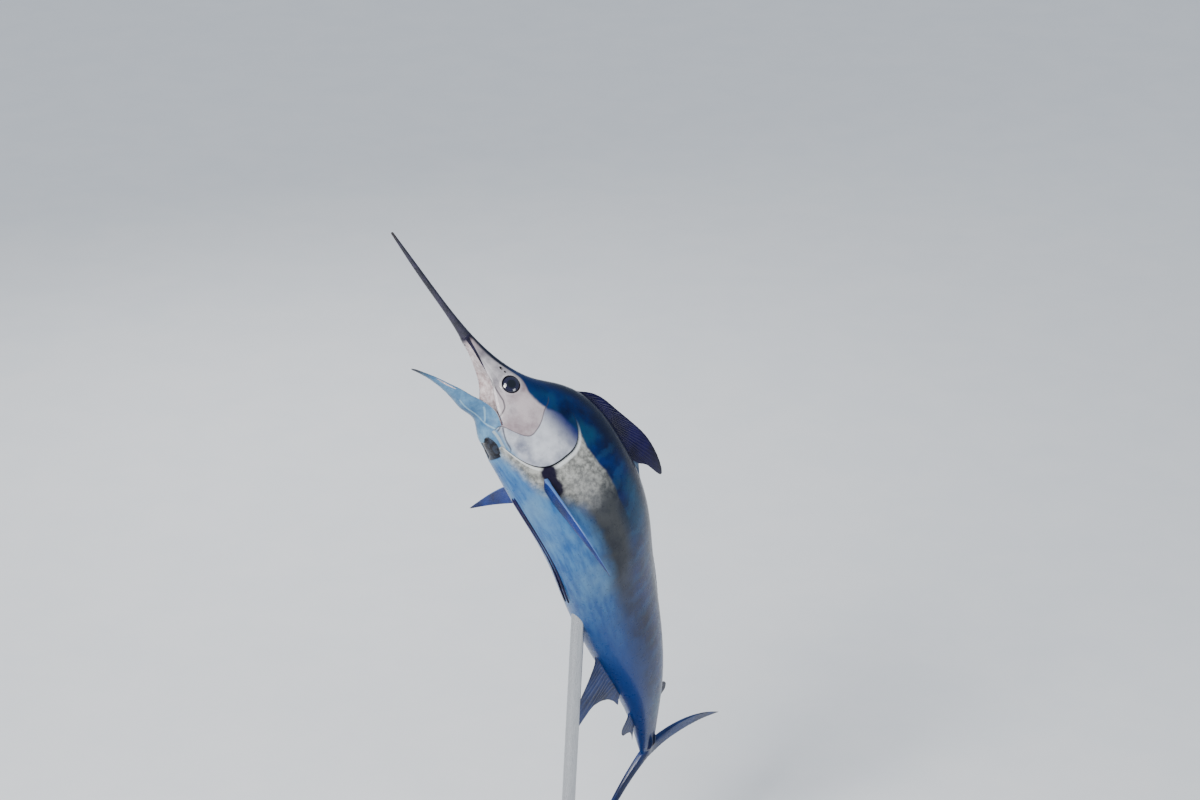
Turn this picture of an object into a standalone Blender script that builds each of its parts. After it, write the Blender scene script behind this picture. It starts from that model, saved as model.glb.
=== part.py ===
# A leaping marlin, life size, on a plain display stand.
# Stations along the fish are shares of LENGTH, from the closed lower jaw's tip (0) to the tail's fork (1).

import math

import bmesh
import bpy
import numpy as np
from mathutils import Matrix, Vector

# Driving dimensions, in metres
LENGTH = 2.7
GAP = 0.0003
EYE_RADIUS = 0.042
EYE_FLATNESS = 0.55
EYE_SINK = 0.011
EYE_RIM = 0.006
NOSTRIL_RADIUS = 0.0045
PLATE_DEPTH = 0.010
PLATE_LIFT = 0.006
PECTORAL_LENGTH = 0.42
PECTORAL_CHORD = 0.095
KEEL_LENGTH = 0.150
KEEL_APART = 0.012
ROD_RADIUS = 0.030
FLANGE_RADIUS = 0.085
FLANGE_HEIGHT = 0.014
BASE_RADIUS = 0.62
BASE_HEIGHT = 0.050
BASE_EDGE = 0.006
TAIL_CLEARANCE = 0.035
SMOOTH_UNDER = math.radians(40)

# The open mouth: the jaw's swing in radians, and the share of LENGTH over which the swing fades in
JAW_GAPE = 0.625
JAW_BEND = 0.069

# The leap: the head's turn in the world, and the body's bends as centre, half length and angle
HEAD_TURN = tuple(math.radians(angle) for angle in (50.22, -56.50, 167.21))
SIDE_BENDS = ((0.37, 0.125, -0.605), (0.52, 0.14, 0.082), (0.76, 0.18, -0.22))
ROLL_BENDS = ((0.42, 0.17, 0.101),)

# Where the body parts meet
BILL_END = 0.010
MOUTH_END = 0.150
TAIL_END = 0.972
WHOLE_FROM = 0.19

# Where pieces sit, as station and body angle
EYE_PLACE = (0.1098, 0.065)
NOSTRILS = ((0.0817, 0.36), (0.0892, 0.33))
PECTORAL_ROOT = (0.268, -0.63)
ROD_STATION = 0.535
BALANCE_STATION = 0.40

# The gill cover's front edge as body angle and station, and the angles of its ends
PLATE_FRONT = ((-0.95, 0.158), (-0.70, 0.163), (-0.45, 0.182), (-0.25, 0.1885), (0.0, 0.181), (0.20, 0.178),
               (0.50, 0.186))
PLATE_ENDS = (-0.95, 0.50)

# The pectorals' directions aft, out and up, the rod's lean and the base's shift from the balance
LEFT_AIM = (0.539, 0.779, -0.321)
RIGHT_AIM = (0.035, 0.996, -0.082)
PECTORAL_CHORD_WAY = (1.0, 0.0, -0.30)
ROD_LEAN = (-0.05, -0.06)
BASE_SHIFT = (0.02, 0.10)

# The body's outlines from the bill's axis, as station and share of LENGTH
BACK = ((-0.19, 0.0023), (-0.10, 0.0064), (-0.03, 0.0102), (0.02, 0.0161), (0.06, 0.0247), (0.10, 0.0392),
        (0.13, 0.0581), (0.16, 0.0864), (0.19, 0.1085), (0.23, 0.1241), (0.29, 0.1286), (0.40, 0.1206),
        (0.55, 0.1010), (0.70, 0.0764), (0.82, 0.0523), (0.90, 0.0377), (0.972, 0.0270))
BELLY = ((-0.19, -0.0017), (-0.10, -0.0026), (-0.03, -0.0012), (0.02, -0.0049), (0.06, -0.0170),
         (0.10, -0.0395), (0.15, -0.0708), (0.20, -0.0784), (0.26, -0.0832), (0.36, -0.0852),
         (0.50, -0.0785), (0.62, -0.0646), (0.75, -0.0390), (0.86, -0.0185), (0.972, -0.0070))
WIDTH = ((-0.19, 0.0020), (-0.10, 0.0046), (-0.03, 0.0060), (0.02, 0.0095), (0.06, 0.0160), (0.10, 0.0280),
         (0.15, 0.0454), (0.21, 0.0563), (0.28, 0.0627), (0.38, 0.0642), (0.50, 0.0597), (0.65, 0.0494),
         (0.78, 0.0350), (0.88, 0.0205), (0.94, 0.0120), (0.972, 0.0060))

# The height of the widest place, the roundness of the section above it, and the line of the closed mouth
WIDEST = ((-0.19, 0.0003), (-0.10, 0.0019), (-0.03, 0.0046), (0.02, 0.0054), (0.06, 0.0040), (0.10, 0.0045),
          (0.20, 0.012), (0.30, 0.020), (0.50, 0.018), (0.75, 0.014), (0.972, 0.0100))
FULLNESS = ((-0.19, 2.0), (0.02, 2.0), (0.10, 2.5), (0.15, 2.3), (0.22, 1.9), (0.30, 1.85), (0.60, 1.9),
            (0.972, 2.0))
LOWER_FULLNESS = 2.1
LIP = ((0.0, 0.0), (0.03, -0.0014), (0.06, -0.0055), (0.09, -0.0126), (0.12, -0.0300), (0.15, -0.0426))
VAULT = 0.011
TROUGH = 0.007

STATIONS = {
    "bill": (-0.19, -0.184, -0.17, -0.15, -0.12, -0.09, -0.06, -0.03, 0.0, BILL_END),
    "head": (BILL_END, 0.022, 0.036, 0.052, 0.068, 0.082, 0.095, 0.107, 0.12, 0.133, 0.142, MOUTH_END,
             0.162, 0.175, WHOLE_FROM, 0.205),
    "trunk_front": (0.205, 0.225, 0.25, 0.28, 0.31, 0.34, 0.37, 0.40),
    "trunk_mid": (0.40, 0.44, 0.48, 0.52, 0.57, 0.62),
    "trunk_rear": (0.62, 0.66, 0.70, 0.74, 0.78, 0.82),
    "tail_stalk": (0.82, 0.85, 0.88, 0.91, 0.93, 0.95, 0.962, TAIL_END),
}
UPPER_POINTS = 27
LOWER_POINTS = 11
LIP_STEPS = (0.0, 0.10, 0.22, 0.34)
LIP_SWELL = (0.0, 0.0035, 0.0015, -0.0010)
JAW_STATIONS = (0.15, 0.143, 0.135, 0.127, 0.115, 0.10, 0.08, 0.06, 0.04, 0.02, 0.004, -0.008)
RING_SIDES = 30


def spline(points):
    """Return the natural cubic through the points."""
    x, y = np.array(points, float).T
    step = np.diff(x)
    count = len(x)
    matrix = np.eye(count)
    right = np.zeros(count)
    for i in range(1, count - 1):
        matrix[i, i - 1:i + 2] = step[i - 1], 2 * (step[i - 1] + step[i]), step[i]
        right[i] = 6 * ((y[i + 1] - y[i]) / step[i] - (y[i] - y[i - 1]) / step[i - 1])
    curve = np.linalg.solve(matrix, right)

    def value(at):
        at = np.clip(at, x[0], x[-1])
        i = np.clip(np.searchsorted(x, at) - 1, 0, count - 2)
        a = (x[i + 1] - at) / step[i]
        b = 1 - a
        bent = ((a ** 3 - a) * curve[i] + (b ** 3 - b) * curve[i + 1]) * step[i] ** 2 / 6
        return a * y[i] + b * y[i + 1] + bent

    return value


back, belly, width, widest, fullness, lip_height = (spline(table) for table in (BACK, BELLY, WIDTH, WIDEST,
                                                                                FULLNESS, LIP))


def ease(x):
    x = np.clip(x, 0, 1)
    return x ** 3 * (6 * x * x - 15 * x + 10)


def body_point(station, angle):
    """Return a straight body point's coordinates; angle 0 is the left flank, a quarter turn the back."""
    station, angle = np.broadcast_arrays(np.asarray(station, float), np.asarray(angle, float))
    cos, sin = np.cos(angle), np.sin(angle)
    middle = widest(station)
    power = np.where(sin > 0, fullness(station), LOWER_FULLNESS)
    side = width(station) * np.sign(cos) * np.abs(cos) ** (2 / power)
    reach = np.where(sin > 0, back(station) - middle, middle - belly(station))
    height = middle + np.sign(sin) * reach * np.abs(sin) ** (2 / power)
    return np.stack([station, side, height], -1) * LENGTH


def body_normal(station, angle):
    """Return the straight body's outward normal by differences."""
    d = 1e-4
    along = body_point(station + d, angle) - body_point(station - d, angle)
    around = body_point(station, angle + d) - body_point(station, angle - d)
    normal = np.cross(around, along)
    return normal / np.linalg.norm(normal, axis=-1, keepdims=True)


def body_line():
    """Return the bent centre line's stations, points and side and up directions."""
    stations = np.linspace(-0.25, 1.15, 1401)

    def turned(bends):
        return sum(angle * ease((stations - centre + half) / (2 * half)) for centre, half, angle in bends)

    yaw, roll = turned(SIDE_BENDS), turned(ROLL_BENDS)
    zero = 0 * yaw
    aft = np.stack([-np.cos(yaw), np.sin(yaw), zero], 1)
    out = np.stack([np.sin(yaw), np.cos(yaw), zero], 1)
    up = np.array([0, 0, 1.0])
    side = out * np.cos(roll)[:, None] + up * np.sin(roll)[:, None]
    rise = up * np.cos(roll)[:, None] - out * np.sin(roll)[:, None]
    step = (stations[1] - stations[0]) * LENGTH
    points = np.zeros_like(aft)
    points[1:] = np.cumsum((aft[1:] + aft[:-1]) / 2, 0) * step
    start = np.searchsorted(stations, 0.0)
    return stations, points - points[start], side, rise


LINE = body_line()


def bend(straight):
    """Carry straight points (metres aft, left, up) into the bent fish's frame: X forward, Y left, Z up."""
    straight = np.asarray(straight, float)
    stations, points, side, rise = LINE
    place = (straight[..., 0] / LENGTH - stations[0]) / (stations[1] - stations[0])
    i = np.clip(place.astype(int), 0, len(stations) - 2)
    part = (place - i)[..., None]

    def at(values):
        return values[i] * (1 - part) + values[i + 1] * part

    return at(points) + at(side) * straight[..., 1:2] + at(rise) * straight[..., 2:3]


def clear_scene():
    for obj in list(bpy.data.objects):
        bpy.data.objects.remove(obj, do_unlink=True)


def collection(name):
    made = bpy.data.collections.new(name)
    bpy.context.scene.collection.children.link(made)
    return made


def material(name, colour, roughness, metallic=0.0):
    made = bpy.data.materials.new(name)
    made.use_nodes = True
    shader = made.node_tree.nodes["Principled BSDF"]
    shader.inputs["Base Color"].default_value = (*colour, 1)
    shader.inputs["Roughness"].default_value = roughness
    shader.inputs["Metallic"].default_value = metallic
    return made


def new_object(name, mesh, group, finish, parent=None):
    obj = bpy.data.objects.new(name, mesh)
    group.objects.link(obj)
    obj.parent = parent
    mesh.materials.clear()
    mesh.materials.append(finish)
    return obj


def closed_mesh(name, points, faces):
    """Return a closed mesh with like points merged and its faces pointing out."""
    mesh = bpy.data.meshes.new(name)
    mesh.from_pydata([tuple(point) for point in points], [], faces)
    bm = bmesh.new()
    bm.from_mesh(mesh)
    bmesh.ops.remove_doubles(bm, verts=bm.verts, dist=1e-5)
    bmesh.ops.recalc_face_normals(bm, faces=bm.faces)
    bm.to_mesh(mesh)
    bm.free()
    mesh.shade_smooth()
    mesh.set_sharp_from_angle(angle=SMOOTH_UNDER)
    return mesh


def loft_mesh(name, rings):
    """Return a closed loft of like rings, given as rings x points x 3."""
    count, sides, _ = rings.shape
    faces = []
    for i in range(count - 1):
        for j in range(sides):
            k = (j + 1) % sides
            faces.append((i * sides + j, i * sides + k, (i + 1) * sides + k, (i + 1) * sides + j))
    faces.append(tuple(range(sides)))
    faces.append(tuple(range((count - 1) * sides, count * sides)))
    return closed_mesh(name, rings.reshape(-1, 3), faces)


def sheet_mesh(name, first, second):
    """Return the closed plate between two like grids, split into triangles alike on both."""
    rows, columns, _ = first.shape
    size = rows * columns
    faces = []
    for i in range(rows - 1):
        for j in range(columns - 1):
            a, b, c, d = i * columns + j, i * columns + j + 1, (i + 1) * columns + j + 1, (i + 1) * columns + j
            faces += [(a, b, c), (a, c, d), (a + size, c + size, b + size), (a + size, d + size, c + size)]
    edge = [(0, j) for j in range(columns)] + [(i, columns - 1) for i in range(1, rows)]
    edge += [(rows - 1, j) for j in range(columns - 2, -1, -1)] + [(i, 0) for i in range(rows - 2, 0, -1)]
    rim = [i * columns + j for i, j in edge]
    for a, b in zip(rim, rim[1:] + rim[:1]):
        faces.append((a, b, b + size, a + size))
    return closed_mesh(name, np.concatenate([first.reshape(-1, 3), second.reshape(-1, 3)]), faces)


def grown(obj, group, margin=GAP):
    """Return a cutter: the object with each point moved out along its normal by the margin."""
    mesh = bpy.data.meshes.new_from_object(obj.evaluated_get(bpy.context.evaluated_depsgraph_get()))
    bm = bmesh.new()
    bm.from_mesh(mesh)
    bm.normal_update()
    moves = [vert.normal * margin * vert.calc_shell_factor() for vert in bm.verts]
    for vert, move in zip(bm.verts, moves):
        vert.co += move
    bm.to_mesh(mesh)
    bm.free()
    cutter = bpy.data.objects.new(obj.name + "_cutter", mesh)
    group.objects.link(cutter)
    cutter.parent = obj.parent
    cutter.matrix_basis = obj.matrix_basis
    cutter.hide_render = True
    cutter.display_type = "WIRE"
    return cutter


def largest_only(bm):
    """Keep the mesh's largest closed surface."""
    left = set(bm.faces)
    shells = []
    while left:
        shell = [left.pop()]
        for face in shell:
            for edge in face.edges:
                for other in edge.link_faces:
                    if other in left:
                        left.discard(other)
                        shell.append(other)
        shells.append(shell)
    shells.sort(key=lambda shell: sum(face.calc_area() for face in shell))
    bmesh.ops.delete(bm, geom=[face for shell in shells[:-1] for face in shell], context="FACES")


def combine(obj, others, operation):
    """Join others to the object, or cut them from it, and keep its largest closed surface."""
    for other in others:
        modifier = obj.modifiers.new(operation.lower(), "BOOLEAN")
        modifier.operation = operation
        modifier.object = other
    bpy.context.view_layer.update()
    mesh = bpy.data.meshes.new_from_object(obj.evaluated_get(bpy.context.evaluated_depsgraph_get()))
    obj.modifiers.clear()
    bm = bmesh.new()
    bm.from_mesh(mesh)
    largest_only(bm)
    bmesh.ops.dissolve_degenerate(bm, edges=bm.edges, dist=1e-6)
    bm.to_mesh(mesh)
    bm.free()
    mesh.shade_smooth()
    mesh.set_sharp_from_angle(angle=SMOOTH_UNDER)
    obj.data = mesh


def part_stations(name):
    """Return a body part's stations, drawn in by half the gap where it meets its neighbours."""
    stations = np.array(STATIONS[name])
    stations[-1] -= GAP / 2 / LENGTH
    if name != "bill":
        stations[0] += GAP / 2 / LENGTH
    return stations


def body_rings(stations, sides=RING_SIDES):
    angles = np.linspace(0, 2 * np.pi, sides, endpoint=False)
    return bend(body_point(stations[:, None], angles[None, :]))


def make_bill(group, fish, finish):
    """The bill: a slim round spear, its first ring drawn in for a blunt tip."""
    rings = body_rings(part_stations("bill"), 14)
    rings[0] = rings[0].mean(0) + (rings[0] - rings[0].mean(0)) * 0.6
    return new_object("bill", loft_mesh("bill", rings), group, finish, fish)


def lip_angle(station):
    """The body angle at which the flank reaches the line of the mouth."""
    middle = widest(station)
    share = np.clip((middle - lip_height(station)) / (middle - belly(station)), 0, 1)
    return -np.arcsin(share ** (LOWER_FULLNESS / 2))


def palate_rise(station):
    """How far the palate's middle rises over the lips: under the bill's base it still bulges down."""
    bulge = (lip_height(station) - belly(station)) * (1 - ease((station - BILL_END) / 0.035))
    return VAULT * ease((station - 0.045) / 0.06) - bulge


def upper_angles(lip):
    """Angles from the left lip over the back to the right lip, close together at the lips."""
    near = lip + np.array(LIP_STEPS)
    far = np.linspace(near[-1], np.pi - near[-1], UPPER_POINTS - 2 * len(near) + 2)[1:-1]
    return np.concatenate([near, far, np.pi - near[::-1]])


def swell(points, station, angle, amounts):
    """Push points out of the flank by the given amounts."""
    return points + body_normal(np.full(len(angle), station), angle) * amounts[:, None]


def head_ring(station, open_mouth):
    """One ring of the head: over the back from lip to lip, then along the palate or under the throat."""
    lip = lip_angle(min(station, MOUTH_END))
    angles = upper_angles(lip)
    amounts = np.zeros(UPPER_POINTS)
    mouth = ease((station - 0.02) / 0.03) * ease((0.165 - station) / 0.03)
    amounts[:4] = np.array(LIP_SWELL) * mouth
    amounts[-4:] = amounts[:4][::-1]
    upper = swell(body_point(station, angles), station, angles, amounts)
    if not open_mouth:
        under = np.linspace(np.pi - lip, 2 * np.pi + lip, LOWER_POINTS + 2)[1:-1]
        return np.concatenate([upper, body_point(station, under)])
    turn = np.linspace(0, np.pi, LOWER_POINTS + 2)[1:-1]
    palate = np.stack([np.full(LOWER_POINTS, station * LENGTH),
                       upper[-1, 1] * np.cos(turn),
                       upper[-1, 2] + palate_rise(station) * LENGTH * np.sin(turn) ** 0.8], -1)
    return np.concatenate([upper, palate])


def make_head(group, cutters, fish, finish):
    """The head above the mouth and behind it, with palate, lips, eye rims, sockets and nostrils."""
    rings = []
    for station in part_stations("head"):
        near_end = abs(station - MOUTH_END) < 1e-6
        if station <= MOUTH_END:
            rings.append(head_ring(station, True))
        if near_end or station > MOUTH_END:
            rings.append(head_ring(station, False))
    head = new_object("head", loft_mesh("head", bend(np.array(rings))), group, finish, fish)
    rims = [eye_rim(side, cutters, fish, finish) for side in (1, -1)]
    combine(head, rims, "UNION")
    pits = [nostril_pit(place, side, cutters, fish) for side in (1, -1) for place in NOSTRILS]
    combine(head, pits, "DIFFERENCE")
    for helper in rims + pits:
        bpy.data.objects.remove(helper, do_unlink=True)
    return head


def eye_frame(side):
    """Return the eye's centre and outward direction in the fish's frame."""
    point = body_point(*EYE_PLACE)
    normal = body_normal(*EYE_PLACE)
    centre = point - normal * EYE_SINK
    flip = np.array([-1, side, 1])
    return Vector(centre * flip), Vector(normal * flip)


def make_eye(name, side, group, fish, finish):
    """One eyeball, set deep in the head."""
    centre, out = eye_frame(side)
    bpy.ops.mesh.primitive_uv_sphere_add(segments=20, ring_count=12, radius=EYE_RADIUS)
    eye = bpy.context.object
    eye.name = name
    eye.data.name = name
    eye.parent = fish
    eye.location = centre
    eye.rotation_euler = out.to_track_quat("Z", "Y").to_euler()
    eye.data.transform(Matrix.Diagonal((1, 1, EYE_FLATNESS, 1)))
    move_to(eye, group)
    eye.data.materials.append(finish)
    eye.data.shade_smooth()
    return eye


def move_to(obj, group):
    for other in list(obj.users_collection):
        other.objects.unlink(obj)
    group.objects.link(obj)


def eye_rim(side, group, fish, finish):
    """The low fleshy rim round an eye."""
    centre, out = eye_frame(side)
    share = EYE_SINK / (EYE_RADIUS * EYE_FLATNESS)
    radius = EYE_RADIUS * math.sqrt(1 - share ** 2) + 0.6 * EYE_RIM
    bpy.ops.mesh.primitive_torus_add(major_segments=24, minor_segments=6, major_radius=radius,
                                     minor_radius=EYE_RIM)
    rim = bpy.context.object
    rim.name = "eye_rim"
    rim.parent = fish
    rim.location = centre + out * (EYE_SINK - 0.001)
    rim.rotation_euler = out.to_track_quat("Z", "Y").to_euler()
    move_to(rim, group)
    rim.data.materials.append(finish)
    return rim


def nostril_pit(place, side, group, fish):
    """One of a side's two nostrils, a small round pit."""
    flip = np.array([-1, side, 1])
    bpy.ops.mesh.primitive_uv_sphere_add(segments=8, ring_count=6, radius=NOSTRIL_RADIUS)
    pit = bpy.context.object
    pit.name = "nostril"
    pit.parent = fish
    pit.location = Vector(body_point(*place) * flip)
    move_to(pit, group)
    return pit


def jaw_turn(points, station):
    """Swing a section of the lower jaw down about the hinge, less near the throat."""
    hinge = np.array([MOUTH_END, 0, lip_height(MOUTH_END)]) * LENGTH
    angle = JAW_GAPE * ease((MOUTH_END - station) / JAW_BEND)
    arm = points - hinge
    aft = arm[:, 0] * math.cos(angle) - arm[:, 2] * math.sin(angle)
    rise = arm[:, 2] * math.cos(angle) + arm[:, 0] * math.sin(angle)
    return np.stack([aft, arm[:, 1], rise], -1) + hinge


def jaw_ring(station):
    """One ring of the lower jaw: the mouth's floor with its lips, then the chin."""
    lip = lip_angle(station)
    under = np.linspace(lip, -np.pi - lip, 17)
    amounts = np.zeros(len(under))
    mouth = ease((station - 0.0) / 0.03) * ease((0.15 - station) / 0.02)
    amounts[1:3] = np.array([0.0030, 0.0]) * mouth
    amounts[-3:-1] = amounts[1:3][::-1]
    chin = swell(body_point(station, under), station, under, amounts)
    turn = np.linspace(0, np.pi, 9)[1:-1]
    trough = TROUGH * ease(station / 0.07)
    floor = np.stack([np.full(len(turn), chin[0, 0]),
                      -chin[0, 1] * np.cos(turn),
                      chin[0, 2] - trough * LENGTH * np.sin(turn) ** 0.8], -1)
    ring = np.concatenate([chin, floor])
    ring[:, 2] -= 3 * GAP
    return ring


def make_lower_jaw(group, fish, finish):
    """The lower jaw, held open, from the throat to its pointed tip."""
    rings = []
    for station in JAW_STATIONS:
        ring = jaw_ring(max(station, 0.0))
        if station < 0:
            ring = ring.mean(0) + (ring - ring.mean(0)) * 0.45
            ring[:, 0] = station * LENGTH
        rings.append(jaw_turn(ring, station))
    rings = np.array(rings)
    rings[..., 0] -= GAP
    return new_object("lower_jaw", loft_mesh("lower_jaw", bend(rings)), group, finish, fish)


def plate_rear(angle):
    """The gill cover's free edge: rounded, furthest aft a little below mid flank."""
    away = np.abs(angle + 0.1) ** 3
    return 0.247 - np.where(angle > -0.1, 0.19, 0.115) * away


def make_gill_cover(name, side, group, fish, finish):
    """One gill cover: a curved plate let into the head and trunk, its rear edge standing proud."""
    angles = np.linspace(*PLATE_ENDS, 15)[None, :]
    share = np.array([0.0, 0.25, 0.5, 0.75, 0.92, 1.0])[:, None]
    front = spline(PLATE_FRONT)(angles)
    station = front + (plate_rear(angles) - front) * share
    angles = angles + 0 * station
    skin = body_point(station, angles)
    normal = body_normal(station, angles)
    fade = np.sin(np.pi * (angles - PLATE_ENDS[0]) / (PLATE_ENDS[1] - PLATE_ENDS[0])) ** 0.5
    lift = 0.0005 + PLATE_LIFT * share ** 1.5 * fade
    outer = skin + normal * lift[..., None]
    inner = skin - normal * PLATE_DEPTH
    flip = np.array([1, side, 1])
    return new_object(name, sheet_mesh(name, bend(outer * flip), bend(inner * flip)), group, finish, fish)


def fin_half(base, columns, rows, edge=0.0008, rib=0.0020):
    """Half thickness over a fin's grid: thin to the edge, thicker in front, ribs on each second column."""
    along = np.linspace(0, 1, columns)[:, None]
    out = np.linspace(0, 1, rows)[None, :]
    half = edge + (base - edge) * (1 - out) ** 1.3 * (0.55 + 0.45 * (1 - along) ** 2)
    return half + rib * (np.arange(columns)[:, None] % 2) * (1 - out ** 3)


def midline_fin(name, roots, tips, rays, rows, base, group, fish, finish, sink=0.022, curve=0.0):
    """A fin in the fish's middle plane, from root stations to tips as stations and heights."""
    columns = 2 * rays + 1
    step = np.linspace(0, 1, columns)
    root = roots(step)
    tip = tips(step)
    out = np.linspace(0, 1, rows)[None, :, None]
    points = root[:, None, :] * (1 - out) + tip[:, None, :] * out
    lean = (tip - root)[:, None, :]
    across = np.stack([lean[..., 1], -lean[..., 0]], -1)
    points = points + curve * out * (1 - out) * across * (1 - step[:, None, None])
    direction = lean[:, 0] / np.maximum(np.linalg.norm(lean[:, 0], axis=-1, keepdims=True), 1e-6)
    points[:, 0] -= direction * sink / LENGTH
    half = fin_half(base, columns, rows)
    first = np.stack([points[..., 0] * LENGTH, half, points[..., 1] * LENGTH], -1)
    second = first * np.array([1, -1, 1])
    return new_object(name, sheet_mesh(name, bend(first), bend(second)), group, finish, fish)


def curve_through(points):
    """Return a smooth curve through points, by its share of the way."""
    points = np.array(points, float)
    knots = np.concatenate([[0], np.cumsum(np.linalg.norm(np.diff(points, axis=0), axis=1))])
    first = spline(np.stack([knots / knots[-1], points[:, 0]], 1))
    second = spline(np.stack([knots / knots[-1], points[:, 1]], 1))
    return lambda share: np.stack([first(share), second(share)], -1)


def outline_over(points, outline):
    """Return tips at stations and heights over the given outline."""
    path = curve_through(points)

    def tips(share):
        place = path(share)
        return np.stack([place[:, 0], outline(place[:, 0]) + place[:, 1]], -1)

    return tips


def roots_on(first, last, outline, power=1.0):
    """Return root points spread along the given outline."""
    def roots(share):
        station = first + (last - first) * share ** power
        return np.stack([station, outline(station)], -1)

    return roots


def make_midline_fins(group, fish, finishes):
    """The dorsal and anal fins."""
    half_gap = GAP / 2 / LENGTH
    notch, notch_root = (0.358, 0.0135), 0.341
    lobe = ((0.196, 0.002), (0.213, 0.0135), (0.255, 0.024), (0.314, 0.0425), (0.375, 0.0540), (0.411, 0.0530),
            (0.393, 0.0400), (0.371, 0.0270), (notch[0] - half_gap, notch[1]))
    low = ((notch[0] + half_gap, notch[1]), (0.375, 0.0085), (0.42, 0.010), (0.50, 0.0155), (0.57, 0.0185),
           (0.65, 0.0155), (0.72, 0.010), (0.785, 0.003))
    second = ((0.831, 0.004), (0.849, 0.029), (0.862, 0.0285), (0.868, 0.018), (0.904, 0.012))
    anal_second = ((0.833, -0.004), (0.851, -0.029), (0.864, -0.0285), (0.870, -0.018), (0.905, -0.012))
    anal_first = ((0.640, -0.003), (0.668, -0.045), (0.703, -0.092), (0.727, -0.103), (0.722, -0.075),
                  (0.722, -0.045), (0.738, -0.024), (0.775, -0.012))
    dark, blue = finishes["fin_dark"], finishes["fin_blue"]
    return [
        midline_fin("dorsal_fin_lobe", roots_on(0.190, notch_root - half_gap, back, 1.2),
                    outline_over(lobe, back), 13, 6, 0.006, group, fish, dark, curve=0.10),
        midline_fin("dorsal_fin_low", roots_on(notch_root + half_gap, 0.765, back),
                    outline_over(low, back), 16, 4, 0.004, group, fish, dark),
        midline_fin("dorsal_fin_second", roots_on(0.820, 0.866, back),
                    outline_over(second, back), 6, 5, 0.004, group, fish, dark),
        midline_fin("anal_fin_second", roots_on(0.822, 0.866, belly),
                    outline_over(anal_second, belly), 6, 5, 0.004, group, fish, blue),
        midline_fin("anal_fin_first", roots_on(0.632, 0.752, belly, 1.15),
                    outline_over(anal_first, belly), 11, 5, 0.006, group, fish, blue, curve=-0.15),
    ]


def make_tail_lobe(name, up, group, fish, finish):
    """One lobe of the crescent tail, its rays fanned from the stalk's end to the trailing edge."""
    rays, rows = 11, 7
    columns = 2 * rays + 1
    step = np.linspace(0, 1, columns)[:, None]
    out = np.linspace(0, 1, rows)[None, :]
    start = TAIL_END + GAP / 2 / LENGTH
    middle = float(back(TAIL_END) + belly(TAIL_END)) / 2
    reach = float(back(TAIL_END) - belly(TAIL_END)) / 2
    inner = GAP / 2 / LENGTH
    edge = curve_through(((1.112, 0.203), (1.070, 0.150), (1.035, 0.095), (1.012, 0.045), (1.003, inner)))
    root = np.stack([np.full(columns, start), inner + (reach - inner) * (1 - step[:, 0])], -1)
    tip = edge(step[:, 0])
    hold = root + np.stack([0.030 + 0 * step[:, 0], 0.105 * (1 - step[:, 0]) ** 1.5], -1)
    t = out[..., None]
    points = (1 - t) ** 2 * root[:, None] + 2 * t * (1 - t) * hold[:, None] + t ** 2 * tip[:, None]
    cap = float(width(TAIL_END)) * LENGTH * np.sqrt(np.clip(1 - (root[:, 1] / reach) ** 2, 0.08, 1))[:, None]
    front = 0.0045 * np.exp(-(step / 0.12) ** 2) * (1 - out ** 2)
    half = 0.0010 + (cap - 0.0010) * (1 - out) ** 3 + 0.0030 * (1 - out) + front
    half[:, 0] = cap[:, 0]
    half = half + 0.0018 * (np.arange(columns)[:, None] % 2) * np.sin(np.pi * out ** 0.6)
    height = middle + up * points[..., 1]
    first = np.stack([points[..., 0] * LENGTH, half, height * LENGTH], -1)
    second = first * np.array([1, -1, 1])
    return new_object(name, sheet_mesh(name, bend(first), bend(second)), group, finish, fish)


def make_pectoral(name, side, aim, group, fish, finish):
    """One long stiff pectoral fin: a swept blade, leading edge forward, aimed aft, out and up."""
    rays, rows = 7, 10
    columns = 2 * rays + 1
    start = body_point(*PECTORAL_ROOT) * np.array([1, side, 1])
    aim = np.array(aim, float) * np.array([1, side, 1])
    aim /= np.linalg.norm(aim)
    chord = np.array(PECTORAL_CHORD_WAY)
    chord -= aim * (chord @ aim)
    chord /= np.linalg.norm(chord)
    normal = np.cross(aim, chord)
    out = np.linspace(-0.05, 1, rows)[None, :]
    across = np.linspace(0, 1, columns)[:, None]
    reach = np.clip(out, 0, 1)
    blade = PECTORAL_CHORD * (1 - reach ** 1.6) ** 0.85 * (1 - 0.18 * reach) + 0.004
    sweep = 0.050 * reach ** 2.2
    droop = -0.020 * reach ** 2
    camber = 0.006 * np.sin(np.pi * across) * (1 - reach)
    shift = sweep + blade * (across - 0.25)
    points = (start + aim * (out * PECTORAL_LENGTH)[..., None] + chord * shift[..., None]
              + normal * (droop + camber)[..., None])
    body = np.sin(np.pi * np.clip(across * 0.86 + 0.14, 0, 1)) ** 0.7
    half = 0.0007 + (0.0070 * (1 - reach) ** 1.1 + 0.0012 * (1 - reach)) * body
    half = half + 0.0014 * (np.arange(columns)[:, None] % 2) * (1 - reach ** 3)
    first = points + normal * half[..., None]
    second = points - normal * half[..., None]
    return new_object(name, sheet_mesh(name, bend(first), bend(second)), group, finish, fish)


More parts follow.
